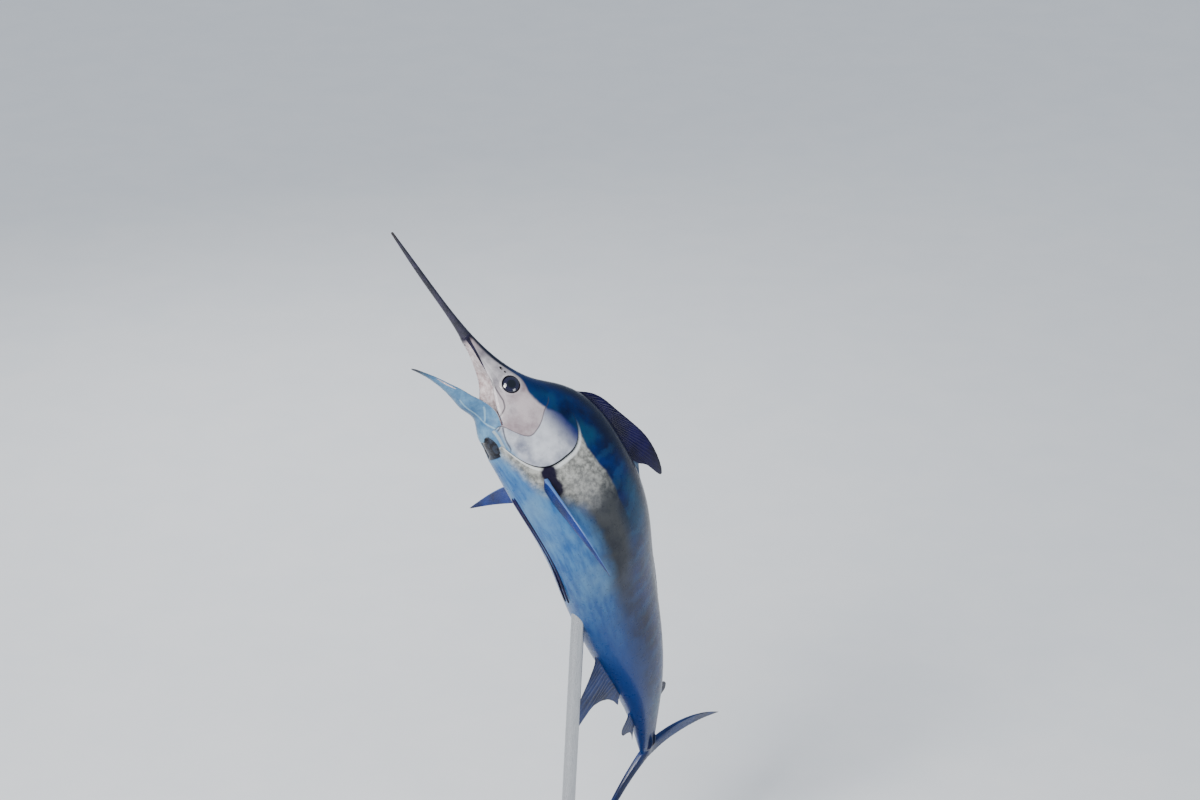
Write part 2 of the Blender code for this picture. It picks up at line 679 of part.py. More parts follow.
def make_pelvic(name, side, group, fish, finish):
    """One thin pelvic fin, folded back along the belly's mid line."""
    station = np.linspace(0.246, 0.480, 15)
    share = np.linspace(0, 1, 15)
    turn = np.linspace(0, 2 * np.pi, 8, endpoint=False)
    half_width = 0.0075 * (1 - 0.75 * share ** 1.5)
    half_height = 0.0110 * (1 - 0.55 * share)
    rise = 0.004 - 0.012 * ease((share - 0.45) / 0.55)
    rings = np.stack([np.broadcast_to((station * LENGTH)[:, None], (15, 8)),
                      side * 0.0095 + half_width[:, None] * np.cos(turn),
                      (belly(station) * LENGTH + rise)[:, None] + half_height[:, None] * np.sin(turn)], -1)
    return new_object(name, loft_mesh(name, bend(rings)), group, finish, fish)


def keel(side, height, group, fish, finish):
    """One of the tail stalk's low side keels, a ridge tapered to both ends."""
    share = np.linspace(0, 1, 9)
    station = TAIL_END - 0.002 - KEEL_LENGTH / LENGTH * (1 - share)
    stand = 0.022 * np.sin(np.pi * np.clip(share * 0.94 + 0.03, 0, 1)) ** 0.7
    turn = np.linspace(0, 2 * np.pi, 6, endpoint=False)
    flank = width(station) * LENGTH * 0.80
    rings = np.stack([np.broadcast_to((station * LENGTH)[:, None], (9, 6)),
                      side * (flank[:, None] + stand[:, None] * np.cos(turn)),
                      (widest(station) * LENGTH + height)[:, None] + 0.38 * stand[:, None] * np.sin(turn)], -1)
    return new_object("keel", loft_mesh("keel", bend(rings)), group, finish, fish)


def make_trunk(name, group, fish, finish):
    return new_object(name, loft_mesh(name, body_rings(part_stations(name))), group, finish, fish)


def body_cutter(group, fish, finish):
    """The whole body as one closed loft, for cutting what meets it."""
    stations = [WHOLE_FROM]
    for name in ("trunk_front", "trunk_mid", "trunk_rear", "tail_stalk"):
        stations += [station for station in STATIONS[name] if station > stations[-1]]
    rings = body_rings(np.array(stations))
    whole = new_object("whole_body", loft_mesh("whole_body", rings), group, finish, fish)
    cutter = grown(whole, group)
    bpy.data.objects.remove(whole, do_unlink=True)
    return cutter


def cylinder_between(name, low, high, radius, sides, group, finish):
    """A round bar between two world points."""
    low, high = Vector(low), Vector(high)
    bpy.ops.mesh.primitive_cylinder_add(vertices=sides, radius=radius, depth=(high - low).length)
    bar = bpy.context.object
    bar.name = name
    bar.data.name = name
    bar.location = (low + high) / 2
    bar.rotation_euler = (high - low).to_track_quat("Z", "Y").to_euler()
    move_to(bar, group)
    bar.data.materials.append(finish)
    bar.data.shade_smooth()
    bar.data.set_sharp_from_angle(angle=SMOOTH_UNDER)
    return bar


def world_points(objects):
    bpy.context.view_layer.update()
    return np.concatenate([[obj.matrix_world @ vert.co for vert in obj.data.vertices] for obj in objects])


def make_stand(group, cutters, fish, cutter, finishes):
    """A round base under the fish and one rod from it up to the belly."""
    place = bend(body_point(ROD_STATION, -math.pi / 2))
    top = fish.matrix_world @ Vector(place)
    balance = fish.matrix_world @ Vector(bend(body_point(BALANCE_STATION, 0.0) * np.array([1, 0, 1])))
    drop = top.z - BASE_HEIGHT
    foot = Vector((top.x + ROD_LEAN[0] * drop, top.y + ROD_LEAN[1] * drop, BASE_HEIGHT))
    along = (top - foot).normalized()
    centre = (balance.x + BASE_SHIFT[0], balance.y + BASE_SHIFT[1])
    bpy.ops.mesh.primitive_cylinder_add(vertices=64, radius=BASE_RADIUS, depth=BASE_HEIGHT,
                                        location=(*centre, BASE_HEIGHT / 2))
    base = bpy.context.object
    base.name = "stand_base"
    base.data.name = "stand_base"
    move_to(base, group)
    base.data.materials.append(finishes["stand_wood"])
    bevel = base.modifiers.new("edge", "BEVEL")
    bevel.width = BASE_EDGE
    bevel.segments = 2
    bevel.limit_method = "ANGLE"
    steel = finishes["stand_steel"]
    rod = cylinder_between("stand_rod", foot - along * 0.06, top + along * 0.08, ROD_RADIUS, 24, group, steel)
    under, over = foot + Vector((0, 0, GAP)), foot + Vector((0, 0, GAP + FLANGE_HEIGHT))
    flange = cylinder_between("stand_flange", under, over, FLANGE_RADIUS, 32, group, steel)
    hole = cylinder_between("stand_hole", foot - along * 0.06, top, ROD_RADIUS + 1.5 * GAP, 24, cutters, steel)
    hole.hide_render = True
    hole.display_type = "WIRE"
    bpy.context.view_layer.update()
    combine(rod, [cutter, grown(base, cutters)], "DIFFERENCE")
    combine(flange, [hole], "DIFFERENCE")
    return base, rod, flange


def main():
    clear_scene()
    group = collection("marlin")
    cutters = collection("cutters")
    finishes = {
        "skin_flank": material("skin_flank", (0.36, 0.42, 0.44), 0.25),
        "bill_horn": material("bill_horn", (0.16, 0.13, 0.13), 0.45),
        "eye_black": material("eye_black", (0.012, 0.010, 0.025), 0.05),
        "fin_dark": material("fin_dark", (0.03, 0.02, 0.06), 0.3),
        "fin_blue": material("fin_blue", (0.04, 0.10, 0.24), 0.3),
        "stand_wood": material("stand_wood", (0.10, 0.055, 0.03), 0.35),
        "stand_steel": material("stand_steel", (0.6, 0.6, 0.6), 0.3, 1.0),
    }
    fish = bpy.data.objects.new("fish", None)
    bpy.context.scene.collection.objects.link(fish)
    fish.rotation_euler = HEAD_TURN
    bpy.context.view_layer.update()

    bill = make_bill(group, fish, finishes["bill_horn"])
    head = make_head(group, cutters, fish, finishes["skin_flank"])
    jaw = make_lower_jaw(group, fish, finishes["skin_flank"])
    eyes = [make_eye("eye_left", 1, group, fish, finishes["eye_black"]),
            make_eye("eye_right", -1, group, fish, finishes["eye_black"])]
    covers = [make_gill_cover("gill_cover_left", 1, group, fish, finishes["skin_flank"]),
              make_gill_cover("gill_cover_right", -1, group, fish, finishes["skin_flank"])]
    trunk = {name: make_trunk(name, group, fish, finishes["skin_flank"])
             for name in ("trunk_front", "trunk_mid", "trunk_rear", "tail_stalk")}
    bpy.context.view_layer.update()
    combine(head, [grown(obj, cutters) for obj in eyes + covers], "DIFFERENCE")
    combine(trunk["trunk_front"], [grown(obj, cutters) for obj in covers], "DIFFERENCE")
    cutter = body_cutter(cutters, fish, finishes["skin_flank"])
    keels = [keel(side, height, cutters, fish, finishes["skin_flank"])
             for side in (1, -1) for height in (KEEL_APART, -KEEL_APART)]
    combine(trunk["tail_stalk"], keels, "UNION")
    for helper in keels:
        bpy.data.objects.remove(helper, do_unlink=True)

    fins = make_midline_fins(group, fish, finishes)
    fins += [make_pectoral("pectoral_fin_left", 1, LEFT_AIM, group, fish, finishes["fin_blue"]),
             make_pectoral("pectoral_fin_right", -1, RIGHT_AIM, group, fish, finishes["fin_blue"]),
             make_pelvic("pelvic_fin_left", 1, group, fish, finishes["fin_dark"]),
             make_pelvic("pelvic_fin_right", -1, group, fish, finishes["fin_dark"])]
    bpy.context.view_layer.update()
    combine(fins[0], [grown(head, cutters)], "DIFFERENCE")
    for fin in fins:
        combine(fin, [cutter], "DIFFERENCE")
    lobes = [make_tail_lobe("tail_fin_upper", 1, group, fish, finishes["fin_blue"]),
             make_tail_lobe("tail_fin_lower", -1, group, fish, finishes["fin_blue"])]

    pieces = [bill, head, jaw] + eyes + covers + list(trunk.values()) + fins + lobes
    fish.location.z = BASE_HEIGHT + TAIL_CLEARANCE - world_points(pieces)[:, 2].min()
    bpy.context.view_layer.update()
    base, rod, flange = make_stand(group, cutters, fish, cutter, finishes)
    points = world_points(pieces + [base, rod, flange])
    middle = (points.min(0) + points.max(0)) / 2
    shift = Vector((-middle[0], -middle[1], 0))
    for obj in [fish, base, rod, flange]:
        obj.location += shift
    print("pieces", len(pieces) + 3, "fish origin", fish.location, "base centre", base.location)


main()
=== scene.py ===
import math

import bmesh
import bpy
import numpy as np
from mathutils import Euler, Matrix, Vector


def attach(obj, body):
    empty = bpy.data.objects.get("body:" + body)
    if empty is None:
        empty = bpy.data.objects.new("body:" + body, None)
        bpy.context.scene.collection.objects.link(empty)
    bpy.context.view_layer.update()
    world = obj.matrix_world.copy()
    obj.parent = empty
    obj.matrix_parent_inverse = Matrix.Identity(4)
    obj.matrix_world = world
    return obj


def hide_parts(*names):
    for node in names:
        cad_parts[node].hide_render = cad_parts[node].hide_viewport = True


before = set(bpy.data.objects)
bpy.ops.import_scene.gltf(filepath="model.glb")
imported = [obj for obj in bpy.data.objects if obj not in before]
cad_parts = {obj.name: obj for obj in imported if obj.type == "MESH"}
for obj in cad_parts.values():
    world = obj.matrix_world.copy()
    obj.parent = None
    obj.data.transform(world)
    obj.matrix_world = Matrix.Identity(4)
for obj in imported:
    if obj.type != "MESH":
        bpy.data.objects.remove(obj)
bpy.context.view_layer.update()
print("stage: frame loaded")

# Lengths are metres, stations are shares of the fish's length from jaw tip to tail fork,
# angles go round the body in radians: 0 the left flank, a quarter turn the back.
body = {
    "length": 2.7,
    "back": ((-0.19, 0.0023), (-0.10, 0.0064), (-0.03, 0.0102), (0.02, 0.0161), (0.06, 0.0247),
             (0.10, 0.0392), (0.13, 0.0581), (0.16, 0.0864), (0.19, 0.1085), (0.23, 0.1241),
             (0.29, 0.1286), (0.40, 0.1206), (0.55, 0.1010), (0.70, 0.0764), (0.82, 0.0523),
             (0.90, 0.0377), (0.972, 0.0270)),
    "belly": ((-0.19, -0.0017), (-0.10, -0.0026), (-0.03, -0.0012), (0.02, -0.0049), (0.06, -0.0170),
              (0.10, -0.0395), (0.15, -0.0708), (0.20, -0.0784), (0.26, -0.0832), (0.36, -0.0852),
              (0.50, -0.0785), (0.62, -0.0646), (0.75, -0.0390), (0.86, -0.0185), (0.972, -0.0070)),
    "width": ((-0.19, 0.0020), (-0.10, 0.0046), (-0.03, 0.0060), (0.02, 0.0095), (0.06, 0.0160),
              (0.10, 0.0280), (0.15, 0.0454), (0.21, 0.0563), (0.28, 0.0627), (0.38, 0.0642),
              (0.50, 0.0597), (0.65, 0.0494), (0.78, 0.0350), (0.88, 0.0205), (0.94, 0.0120),
              (0.972, 0.0060)),
    "widest": ((-0.19, 0.0003), (-0.10, 0.0019), (-0.03, 0.0046), (0.02, 0.0054), (0.06, 0.0040),
               (0.10, 0.0045), (0.20, 0.012), (0.30, 0.020), (0.50, 0.018), (0.75, 0.014), (0.972, 0.0100)),
    "lip": ((0.0, 0.0), (0.03, -0.0014), (0.06, -0.0055), (0.09, -0.0126), (0.12, -0.0300), (0.15, -0.0426)),
    "fullness": ((-0.19, 2.0), (0.02, 2.0), (0.10, 2.5), (0.15, 2.3), (0.22, 1.9), (0.30, 1.85), (0.60, 1.9),
                 (0.972, 2.0)),
    "lowerFullness": 2.1,
    "sideBends": ((0.37, 0.125, -0.605), (0.52, 0.14, 0.082), (0.76, 0.18, -0.22)),
    "rollBends": ((0.42, 0.17, 0.101),),
    "headTurn": (50.22, -56.50, 167.21),
    "origin": (-0.4733, -0.2090, 2.9666),
    "tailEnd": 0.972,
    "billEnd": 0.010,
}
long = body["length"]


def spline(points):
    # natural cubic through the points, solved for its second derivatives
    x, y = np.array(points, float).T
    step = np.diff(x)
    count = len(x)
    matrix = np.eye(count)
    right = np.zeros(count)
    for i in range(1, count - 1):
        matrix[i, i - 1:i + 2] = step[i - 1], 2 * (step[i - 1] + step[i]), step[i]
        right[i] = 6 * ((y[i + 1] - y[i]) / step[i] - (y[i] - y[i - 1]) / step[i - 1])
    curve = np.linalg.solve(matrix, right)

    def value(at):
        at = np.clip(at, x[0], x[-1])
        i = np.clip(np.searchsorted(x, at) - 1, 0, count - 2)
        a = (x[i + 1] - at) / step[i]
        b = 1 - a
        bent = ((a ** 3 - a) * curve[i] + (b ** 3 - b) * curve[i + 1]) * step[i] ** 2 / 6
        return a * y[i] + b * y[i + 1] + bent

    return value


back, belly, width, widest, fullness, lipHeight = (
    spline(body[key]) for key in ("back", "belly", "width", "widest", "fullness", "lip"))


def ease(x):
    # smooth rise from 0 to 1: x cubed times (6x squared - 15x + 10)
    x = np.clip(x, 0, 1)
    return x ** 3 * (6 * x * x - 15 * x + 10)


def bump(x):
    # bell curve: e to the minus x squared
    return np.exp(-np.square(x))


def bodyPoint(station, angle):
    # superellipse section: side = width cos^(2/n), height = widest + reach sin^(2/n)
    station, angle = np.broadcast_arrays(np.asarray(station, float), np.asarray(angle, float))
    cos, sin = np.cos(angle), np.sin(angle)
    middle = widest(station)
    power = np.where(sin > 0, fullness(station), body["lowerFullness"])
    side = width(station) * np.sign(cos) * np.abs(cos) ** (2 / power)
    reach = np.where(sin > 0, back(station) - middle, middle - belly(station))
    height = middle + np.sign(sin) * reach * np.abs(sin) ** (2 / power)
    return np.stack([station, side, height], -1) * long


def bodyNormal(station, angle):
    # cross product of the surface's differences round and along the body
    d = 1e-4
    along = bodyPoint(station + d, angle) - bodyPoint(station - d, angle)
    around = bodyPoint(station, angle + d) - bodyPoint(station, angle - d)
    normal = np.cross(around, along)
    return normal / np.maximum(np.linalg.norm(normal, axis=-1, keepdims=True), 1e-12)


def bentLine():
    # centre line: the sum of steps along a heading turned by each bend's eased angle
    stations = np.linspace(-0.25, 1.15, 1401)

    def turned(bends):
        return sum(angle * ease((stations - centre + half) / (2 * half)) for centre, half, angle in bends)

    yaw, roll = turned(body["sideBends"]), turned(body["rollBends"])
    zero = 0 * yaw
    aft = np.stack([-np.cos(yaw), np.sin(yaw), zero], 1)
    out = np.stack([np.sin(yaw), np.cos(yaw), zero], 1)
    up = np.array([0, 0, 1.0])
    side = out * np.cos(roll)[:, None] + up * np.sin(roll)[:, None]
    rise = up * np.cos(roll)[:, None] - out * np.sin(roll)[:, None]
    points = np.zeros_like(aft)
    points[1:] = np.cumsum((aft[1:] + aft[:-1]) / 2, 0) * (stations[1] - stations[0]) * long
    return stations, points - points[np.searchsorted(stations, 0.0)], side, rise


centreLine = bentLine()
headMatrix = np.array(Euler([math.radians(angle) for angle in body["headTurn"]]).to_matrix())


def toWorld(straight):
    # a straight point is carried to the bent centre line, then turned and moved to the leap's place
    straight = np.asarray(straight, float)
    stations, points, side, rise = centreLine
    place = (straight[..., 0] / long - stations[0]) / (stations[1] - stations[0])
    i = np.clip(place.astype(int), 0, len(stations) - 2)
    part = (place - i)[..., None]

    def at(values):
        return values[i] * (1 - part) + values[i + 1] * part

    bent = at(points) + at(side) * straight[..., 1:2] + at(rise) * straight[..., 2:3]
    return bent @ headMatrix.T + np.array(body["origin"])


def gridFaces(rows, columns, start=0, wrap=False):
    # quads between each row and the next, and round to the first column if wrapped
    i = np.arange(rows - 1)[:, None]
    j = np.arange(columns if wrap else columns - 1)[None, :]
    k = (j + 1) % columns
    quads = np.stack([i * columns + j, i * columns + k, (i + 1) * columns + k, (i + 1) * columns + j], -1)
    return quads.reshape(-1, 4) + start


def newMesh(name, points, faces, values=None, uv=None):
    # one object from arrays, doubles merged and faces turned out, with its point values as attributes
    mesh = bpy.data.meshes.new(name)
    faces = [list(map(int, face)) for face in faces]
    mesh.from_pydata(np.asarray(points, float).reshape(-1, 3).tolist(), [], faces)
    for key, field in (values or {}).items():
        made = mesh.attributes.new(key, "FLOAT", "POINT")
        made.data.foreach_set("value", np.asarray(field, np.float32).ravel())
    if uv is not None:
        corners = np.zeros(len(mesh.loops), int)
        mesh.loops.foreach_get("vertex_index", corners)
        layer = mesh.uv_layers.new(name="SurfaceMap")
        layer.data.foreach_set("uv", np.asarray(uv, np.float32).reshape(-1, 2)[corners].ravel())
    bm = bmesh.new()
    bm.from_mesh(mesh)
    bmesh.ops.remove_doubles(bm, verts=bm.verts, dist=2e-5)
    bmesh.ops.dissolve_degenerate(bm, edges=bm.edges, dist=1e-6)
    bmesh.ops.recalc_face_normals(bm, faces=bm.faces)
    bm.to_mesh(mesh)
    bm.free()
    mesh.shade_smooth()
    made = bpy.data.objects.new(name, mesh)
    bpy.context.scene.collection.objects.link(made)
    return made


def finish(piece, look, slot, *nodes):
    # gives the piece its look, lets it ride with the frame, and takes the named nodes out of the picture
    piece.data.materials.clear()
    piece.data.materials.append(look)
    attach(piece, "root")
    if nodes:
        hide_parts(*nodes)


def plateMesh(name, first, second, values=None, uv=None):
    # closed sheet between two like grids, joined round their rim
    rows, columns, _ = first.shape
    size = rows * columns
    quads = gridFaces(rows, columns)
    index = np.arange(size).reshape(rows, columns)
    rim = np.concatenate([index[0], index[1:, -1], index[-1, -2::-1], index[-2:0:-1, 0]])
    after = np.roll(rim, -1)
    walls = np.stack([rim, after, after + size, rim + size], -1)
    faces = np.concatenate([quads, quads[:, ::-1] + size, walls])
    both = {key: np.concatenate([np.ravel(field)] * 2) for key, field in (values or {}).items()}
    uvs = None if uv is None else np.concatenate([uv.reshape(-1, 2)] * 2)
    return newMesh(name, np.concatenate([first.reshape(-1, 3), second.reshape(-1, 3)]), faces, both, uvs)


def colour(red, green, blue):
    # screen colour 0-255 to linear light
    share = np.array([red, green, blue]) / 255
    return tuple(np.where(share <= 0.04045, share / 12.92, ((share + 0.055) / 1.055) ** 2.4)) + (1.0,)


def palette(tones):
    # each named tone in linear light
    return {key: colour(*tone) for key, tone in tones.items()}


class Look:
    # a material and the shorthand for wiring its nodes
    def __init__(self, name):
        self.made = bpy.data.materials.new(name)
        self.made.use_nodes = True
        self.tree = self.made.node_tree
        self.shader = self.tree.nodes["Principled BSDF"]

    def add(self, kind, inputs=None, **settings):
        # a node with its settings, and its inputs fed
        made = self.tree.nodes.new(kind)
        for key, value in settings.items():
            setattr(made, key, value)
        for key, value in (inputs or {}).items():
            self.feed(made.inputs[key], value)
        return made

    def feed(self, socket, value):
        # a link from another node, or a plain value
        if isinstance(value, bpy.types.NodeSocket):
            self.tree.links.new(value, socket)
        elif value is not None:
            socket.default_value = value

    def sums(self, kind, *values):
        # one step of arithmetic
        return self.add("ShaderNodeMath", dict(enumerate(values)), operation=kind).outputs[0]

    def times(self, first, second):
        return self.sums("MULTIPLY", first, second)

    def plus(self, first, second):
        return self.sums("ADD", first, second)

    def less(self, first, second):
        return self.sums("SUBTRACT", first, second)

    def value(self, key):
        # one of the mesh's point values
        return self.add("ShaderNodeAttribute", attribute_name=key).outputs["Fac"]

    def place(self, stretch=(1, 1, 1)):
        # the point's place in metres
        source = self.add("ShaderNodeTexCoord").outputs["Object"]
        return self.add("ShaderNodeMapping", {"Vector": source, "Scale": stretch}).outputs[0]

    def surface(self, stretch=(1, 1, 1)):
        # the point's place on the piece's own map
        source = self.add("ShaderNodeUVMap", uv_map="SurfaceMap").outputs[0]
        return self.add("ShaderNodeMapping", {"Vector": source, "Scale": stretch}).outputs[0]

    def noise(self, vector, scale, detail, rough, warp=0.0):
        # cloudy noise
        made = self.add("ShaderNodeTexNoise", {"Vector": vector, "Scale": scale, "Detail": detail,
                                               "Roughness": rough, "Distortion": warp})
        return made.outputs["Fac"]

    def spots(self, vector, scale, feature="F1"):
        # distance to scattered points, or to the edges of the cells round them
        made = self.add("ShaderNodeTexVoronoi", {"Vector": vector, "Scale": scale}, feature=feature)
        return made.outputs["Distance"]

    def rise(self, value, low, high, bottom=0.0, top=1.0):
        # smooth step of the value from low to high
        made = self.add("ShaderNodeMapRange", {0: value, 1: low, 2: high, 3: bottom, 4: top},
                        interpolation_type="SMOOTHSTEP")
        return made.outputs[0]

    def mix(self, share, first, second):
        # first colour where the share is 0, second where it is 1
        made = self.add("ShaderNodeMix", {0: share, 6: first, 7: second}, data_type="RGBA")
        return made.outputs[2]

    def mottle(self, value, low, high, dark, light):
        # dark and light tone mixed by the value's smooth step
        return self.mix(self.rise(value, low, high), dark, light)

    def layer(self, under, value, low, high, tone, amount=1.0):
        # a tone laid over the colour under it by the amount times the value's smooth step
        return self.mix(self.rise(value, low, high, 0.0, amount), under, tone)

    def bumps(self, height, distance, strength, before=None):
        # normal from a height, on top of the normal before
        made = self.add("ShaderNodeBump", {"Height": height, "Distance": distance, "Strength": strength,
                                           "Normal": before})
        return made.outputs[0]

    def shade(self, **inputs):
        # the finished material from the shader's inputs
        for key, value in inputs.items():
            self.feed(self.shader.inputs[key.replace("_", " ")], value)
        return self.made


mouth = {
    "gape": 0.625, "bend": 0.069, "end": 0.150,
    "lipSteps": (0.0, 0.10, 0.22, 0.34), "lipSwell": (0.0, 0.0035, 0.0015, -0.0010),
    "lips": (0.02, 0.165), "lipsEase": 0.03,
    "vault": 0.011, "vaultFrom": 0.045, "vaultEase": 0.06, "palateEase": 0.035, "arch": 0.8,
    "jawTip": (-0.0083, -0.0078, -0.0066, -0.0048, -0.0025), "jawRound": 0.0086, "jawDrop": 0.0010,
    "jawLip": 0.0030, "trough": 0.007, "troughEase": 0.07, "tongue": 0.006, "throat": 0.10,
}
eyes = {
    "station": 0.1098, "angle": 0.065, "radius": 0.042, "flatness": 0.55, "sink": 0.011, "reach": (0.04, 1.0),
    "socket": {"deep": 0.016, "edge": 0.0395, "soft": 0.004, "brim": 0.0025, "brimAt": 0.047,
               "brimWide": 0.010},
    "rim": ((0.064, -0.0016), (0.060, -0.0002), (0.056, 0.0006), (0.052, 0.0015), (0.049, 0.0026),
            (0.0465, 0.0037), (0.0445, 0.0044), (0.0430, 0.0047), (0.0417, 0.0046), (0.0405, 0.0040),
            (0.0395, 0.0028), (0.0388, 0.0008), (0.0385, -0.0030), (0.0384, -0.0080)),
    "brow": 0.25, "rimSides": 96, "ballRings": 41, "ballSides": 72,
}
gill = {
    "front": ((-0.95, 0.158), (-0.70, 0.163), (-0.45, 0.182), (-0.25, 0.1885), (0.0, 0.181), (0.20, 0.178),
              (0.50, 0.186)),
    "rear": 0.247, "low": -0.95, "high": 0.50, "furthest": -0.1, "fallAbove": 0.19, "fallBelow": 0.115,
    "lift": 0.0065, "swell": 1.5, "step": 0.0004, "slit": 0.006, "slitWide": 0.012, "rowsBack": 0.15,
}
nostrils = {
    "places": ((0.0817, 0.36, 0.0048), (0.0900, 0.33, 0.0034)), "stretch": (0.75, 1, 1.1),
    "edge": 1.5, "brim": 0.0012, "brimWide": 0.5, "deep": 0.004,
}
throatPit = {
    "front": 0.152, "rear": 0.194, "edge": -1.03, "bow": 0.20, "deep": 0.012,
    "frontEase": 0.006, "rearEase": 0.008, "edgeEase": 0.07,
    "isthmus": -1.30, "isthmusSlope": -12, "isthmusEase": 0.10, "isthmusEnd": 0.158,
}
keels = {"long": 0.150, "stand": 0.017, "apart": 0.012, "half": 0.0055, "gap": 0.002, "tip": 0.03,
         "outer": 0.3}


def lipAngle(station):
    # angle where the lower section meets the mouth's line: arcsin of its share of the reach, to the power n/2
    middle = widest(station)
    share = np.clip((middle - lipHeight(station)) / (middle - belly(station)), 0, 1)
    return -np.arcsin(share ** (body["lowerFullness"] / 2))


def palateRise(station):
    # the palate's middle over the lips: bulged down like the bill's underside at first, then vaulted up
    under = 1 - ease((station - body["billEnd"]) / mouth["palateEase"])
    bulge = (lipHeight(station) - belly(station)) * under
    return mouth["vault"] * ease((station - mouth["vaultFrom"]) / mouth["vaultEase"]) - bulge


def flank(angle):
    # the angle folded onto the left side: -quarter turn at the belly to +quarter turn at the back
    return np.arcsin(np.clip(np.sin(angle), -1, 1))


def leftSide(points):
    # points folded onto the left side
    return np.stack([points[..., 0], np.abs(points[..., 1]), points[..., 2]], -1)


def throatHollow(station, angle):
    # open gap between the gill membranes: product of eased edges, less the isthmus that tapers aft in it
    side = flank(angle)
    front, rear = throatPit["front"], throatPit["rear"]
    middle, half = (front + rear) / 2, (rear - front) / 2
    gap = ease((station - front) / throatPit["frontEase"]) * ease((rear - station) / throatPit["rearEase"])
    edge = throatPit["edge"] - throatPit["bow"] * ((station - middle) / half) ** 2
    gap = gap * ease((edge - side) / throatPit["edgeEase"])
    isthmus = ease((throatPit["isthmus"] - side + (station - front) * throatPit["isthmusSlope"])
                   / throatPit["isthmusEase"])
    ahead = ease((throatPit["isthmusEnd"] - station) / throatPit["frontEase"] + 1)
    return gap * (1 - isthmus * ahead)


def gillRear(angle):
    # free edge: furthest aft just below mid flank, falling forward as the cube of the angle
    angle = np.clip(angle, gill["low"], gill["high"])
    fall = np.where(angle > gill["furthest"], gill["fallAbove"], gill["fallBelow"])
    return gill["rear"] - fall * np.abs(angle - gill["furthest"]) ** 3


gillFront = spline(gill["front"])


def gillRows(rows, angle):
    # rows are drawn forward so that one of them follows the gill cover's free edge
    ahead = np.clip((rows - mouth["end"]) / (gill["rear"] - mouth["end"]), 0, 1)
    behind = 1 - np.clip((rows - gill["rear"]) / gill["rowsBack"], 0, 1)
    return rows + np.where(rows < gill["rear"], ahead, behind) * (gillRear(flank(angle)) - gill["rear"])


def gillLift(station, angle):
    # cover: rises as a power of the way aft, then drops past its edge into a slit that fades out
    angle = flank(angle)
    front, rear = gillFront(angle), gillRear(angle)
    fade = np.sin(np.pi * np.clip((angle - gill["low"]) / (gill["high"] - gill["low"]), 0, 1)) ** 0.5
    share = np.clip((station - front) / np.maximum(rear - front, 0.01), 0, 1)
    past = (station - rear) * long
    cover = gill["lift"] * share ** gill["swell"] * fade * (past <= gill["step"])
    slit = -gill["slit"] * fade * (past > gill["step"]) * bump(past / gill["slitWide"])
    return cover + slit


def eyeFrame():
    # left eye on the straight body: surface point, outward normal, and the two directions across
    point = bodyPoint(eyes["station"], eyes["angle"])
    normal = bodyNormal(eyes["station"], eyes["angle"])
    aft = np.array([1.0, 0, 0]) - normal * normal[0]
    aft /= np.linalg.norm(aft)
    return point, normal, aft, np.cross(normal, aft)


eyePoint, eyeOut, eyeAft, eyeUp = eyeFrame()


def eyeDistance(points):
    # distance from the eye's axis, in the plane across it
    across = leftSide(points) - eyePoint
    across = across - (across @ eyeOut)[..., None] * eyeOut
    return np.linalg.norm(across, axis=-1)


def nostrilDistance(points):
    # distance from the nearer nostril, in its radii, a little drawn out along the snout
    stretch = np.array(nostrils["stretch"])
    near = [np.linalg.norm((leftSide(points) - bodyPoint(station, angle)) * stretch, axis=-1) / radius
            for station, angle, radius in nostrils["places"]]
    return np.minimum(*near)


def keelPush(station, points):
    # two ridges a side, tapered at both ends: a bell curve across each, a sine along it
    start = body["tailEnd"] - keels["gap"] - keels["long"] / long
    share = (station - start) * long / keels["long"]
    tip = keels["tip"]
    stand = keels["stand"] * np.sin(np.pi * np.clip(share * (1 - 2 * tip) + tip, 0, 1)) ** 0.7
    stand = stand * (share > -tip) * (share < 1 + 2 * tip)
    height = points[..., 2] - widest(station) * long
    ridge = bump((height - keels["apart"]) / keels["half"]) + bump((height + keels["apart"]) / keels["half"])
    outer = np.abs(points[..., 1]) > keels["outer"] * width(station) * long
    return np.sign(points[..., 1]) * stand * ridge * outer


def socketLift(points):
    # the eye's socket, eased down inside its edge, and a bell curve of a brim round it
    socket = eyes["socket"]
    away = eyeDistance(points)
    brim = socket["brim"] * bump((away - socket["brimAt"]) / socket["brimWide"])
    return brim - socket["deep"] * ease((socket["edge"] - away) / socket["soft"])


def nostrilLift(points):
    # each nostril sunk inside a bell curve of a brim
    away = nostrilDistance(points) - nostrils["edge"]
    return nostrils["brim"] * bump(away / nostrils["brimWide"]) - nostrils["deep"] * ease(-away)


def lipLift(station, angle):
    # the upper lip's swelling, by the angle over the lip's line, eased in and out along the mouth
    first, last = mouth["lips"]
    parted = ease((station - first) / mouth["lipsEase"]) * ease((last - station) / mouth["lipsEase"])
    over = flank(angle) - lipAngle(np.minimum(station, mouth["end"]))
    return np.interp(over, mouth["lipSteps"], mouth["lipSwell"], left=0, right=0) * parted


def outerSkin(station, angle):
    # the body's section with lips, eye sockets, gill covers and keels raised or sunk in it
    station, angle = np.broadcast_arrays(station, angle)
    points = bodyPoint(station, angle)
    near = np.abs(station - eyes["station"]) < eyes["reach"][0]
    side = np.abs(flank(angle) - eyes["angle"]) < eyes["reach"][1]
    lift = np.where(near & side, socketLift(points), 0) + gillLift(station, angle) + lipLift(station, angle)
    lift = lift + np.where(near, nostrilLift(points), 0) - throatPit["deep"] * throatHollow(station, angle)
    points = points + bodyNormal(station, angle) * lift[..., None]
    points[..., 1] += keelPush(station, points)
    return points


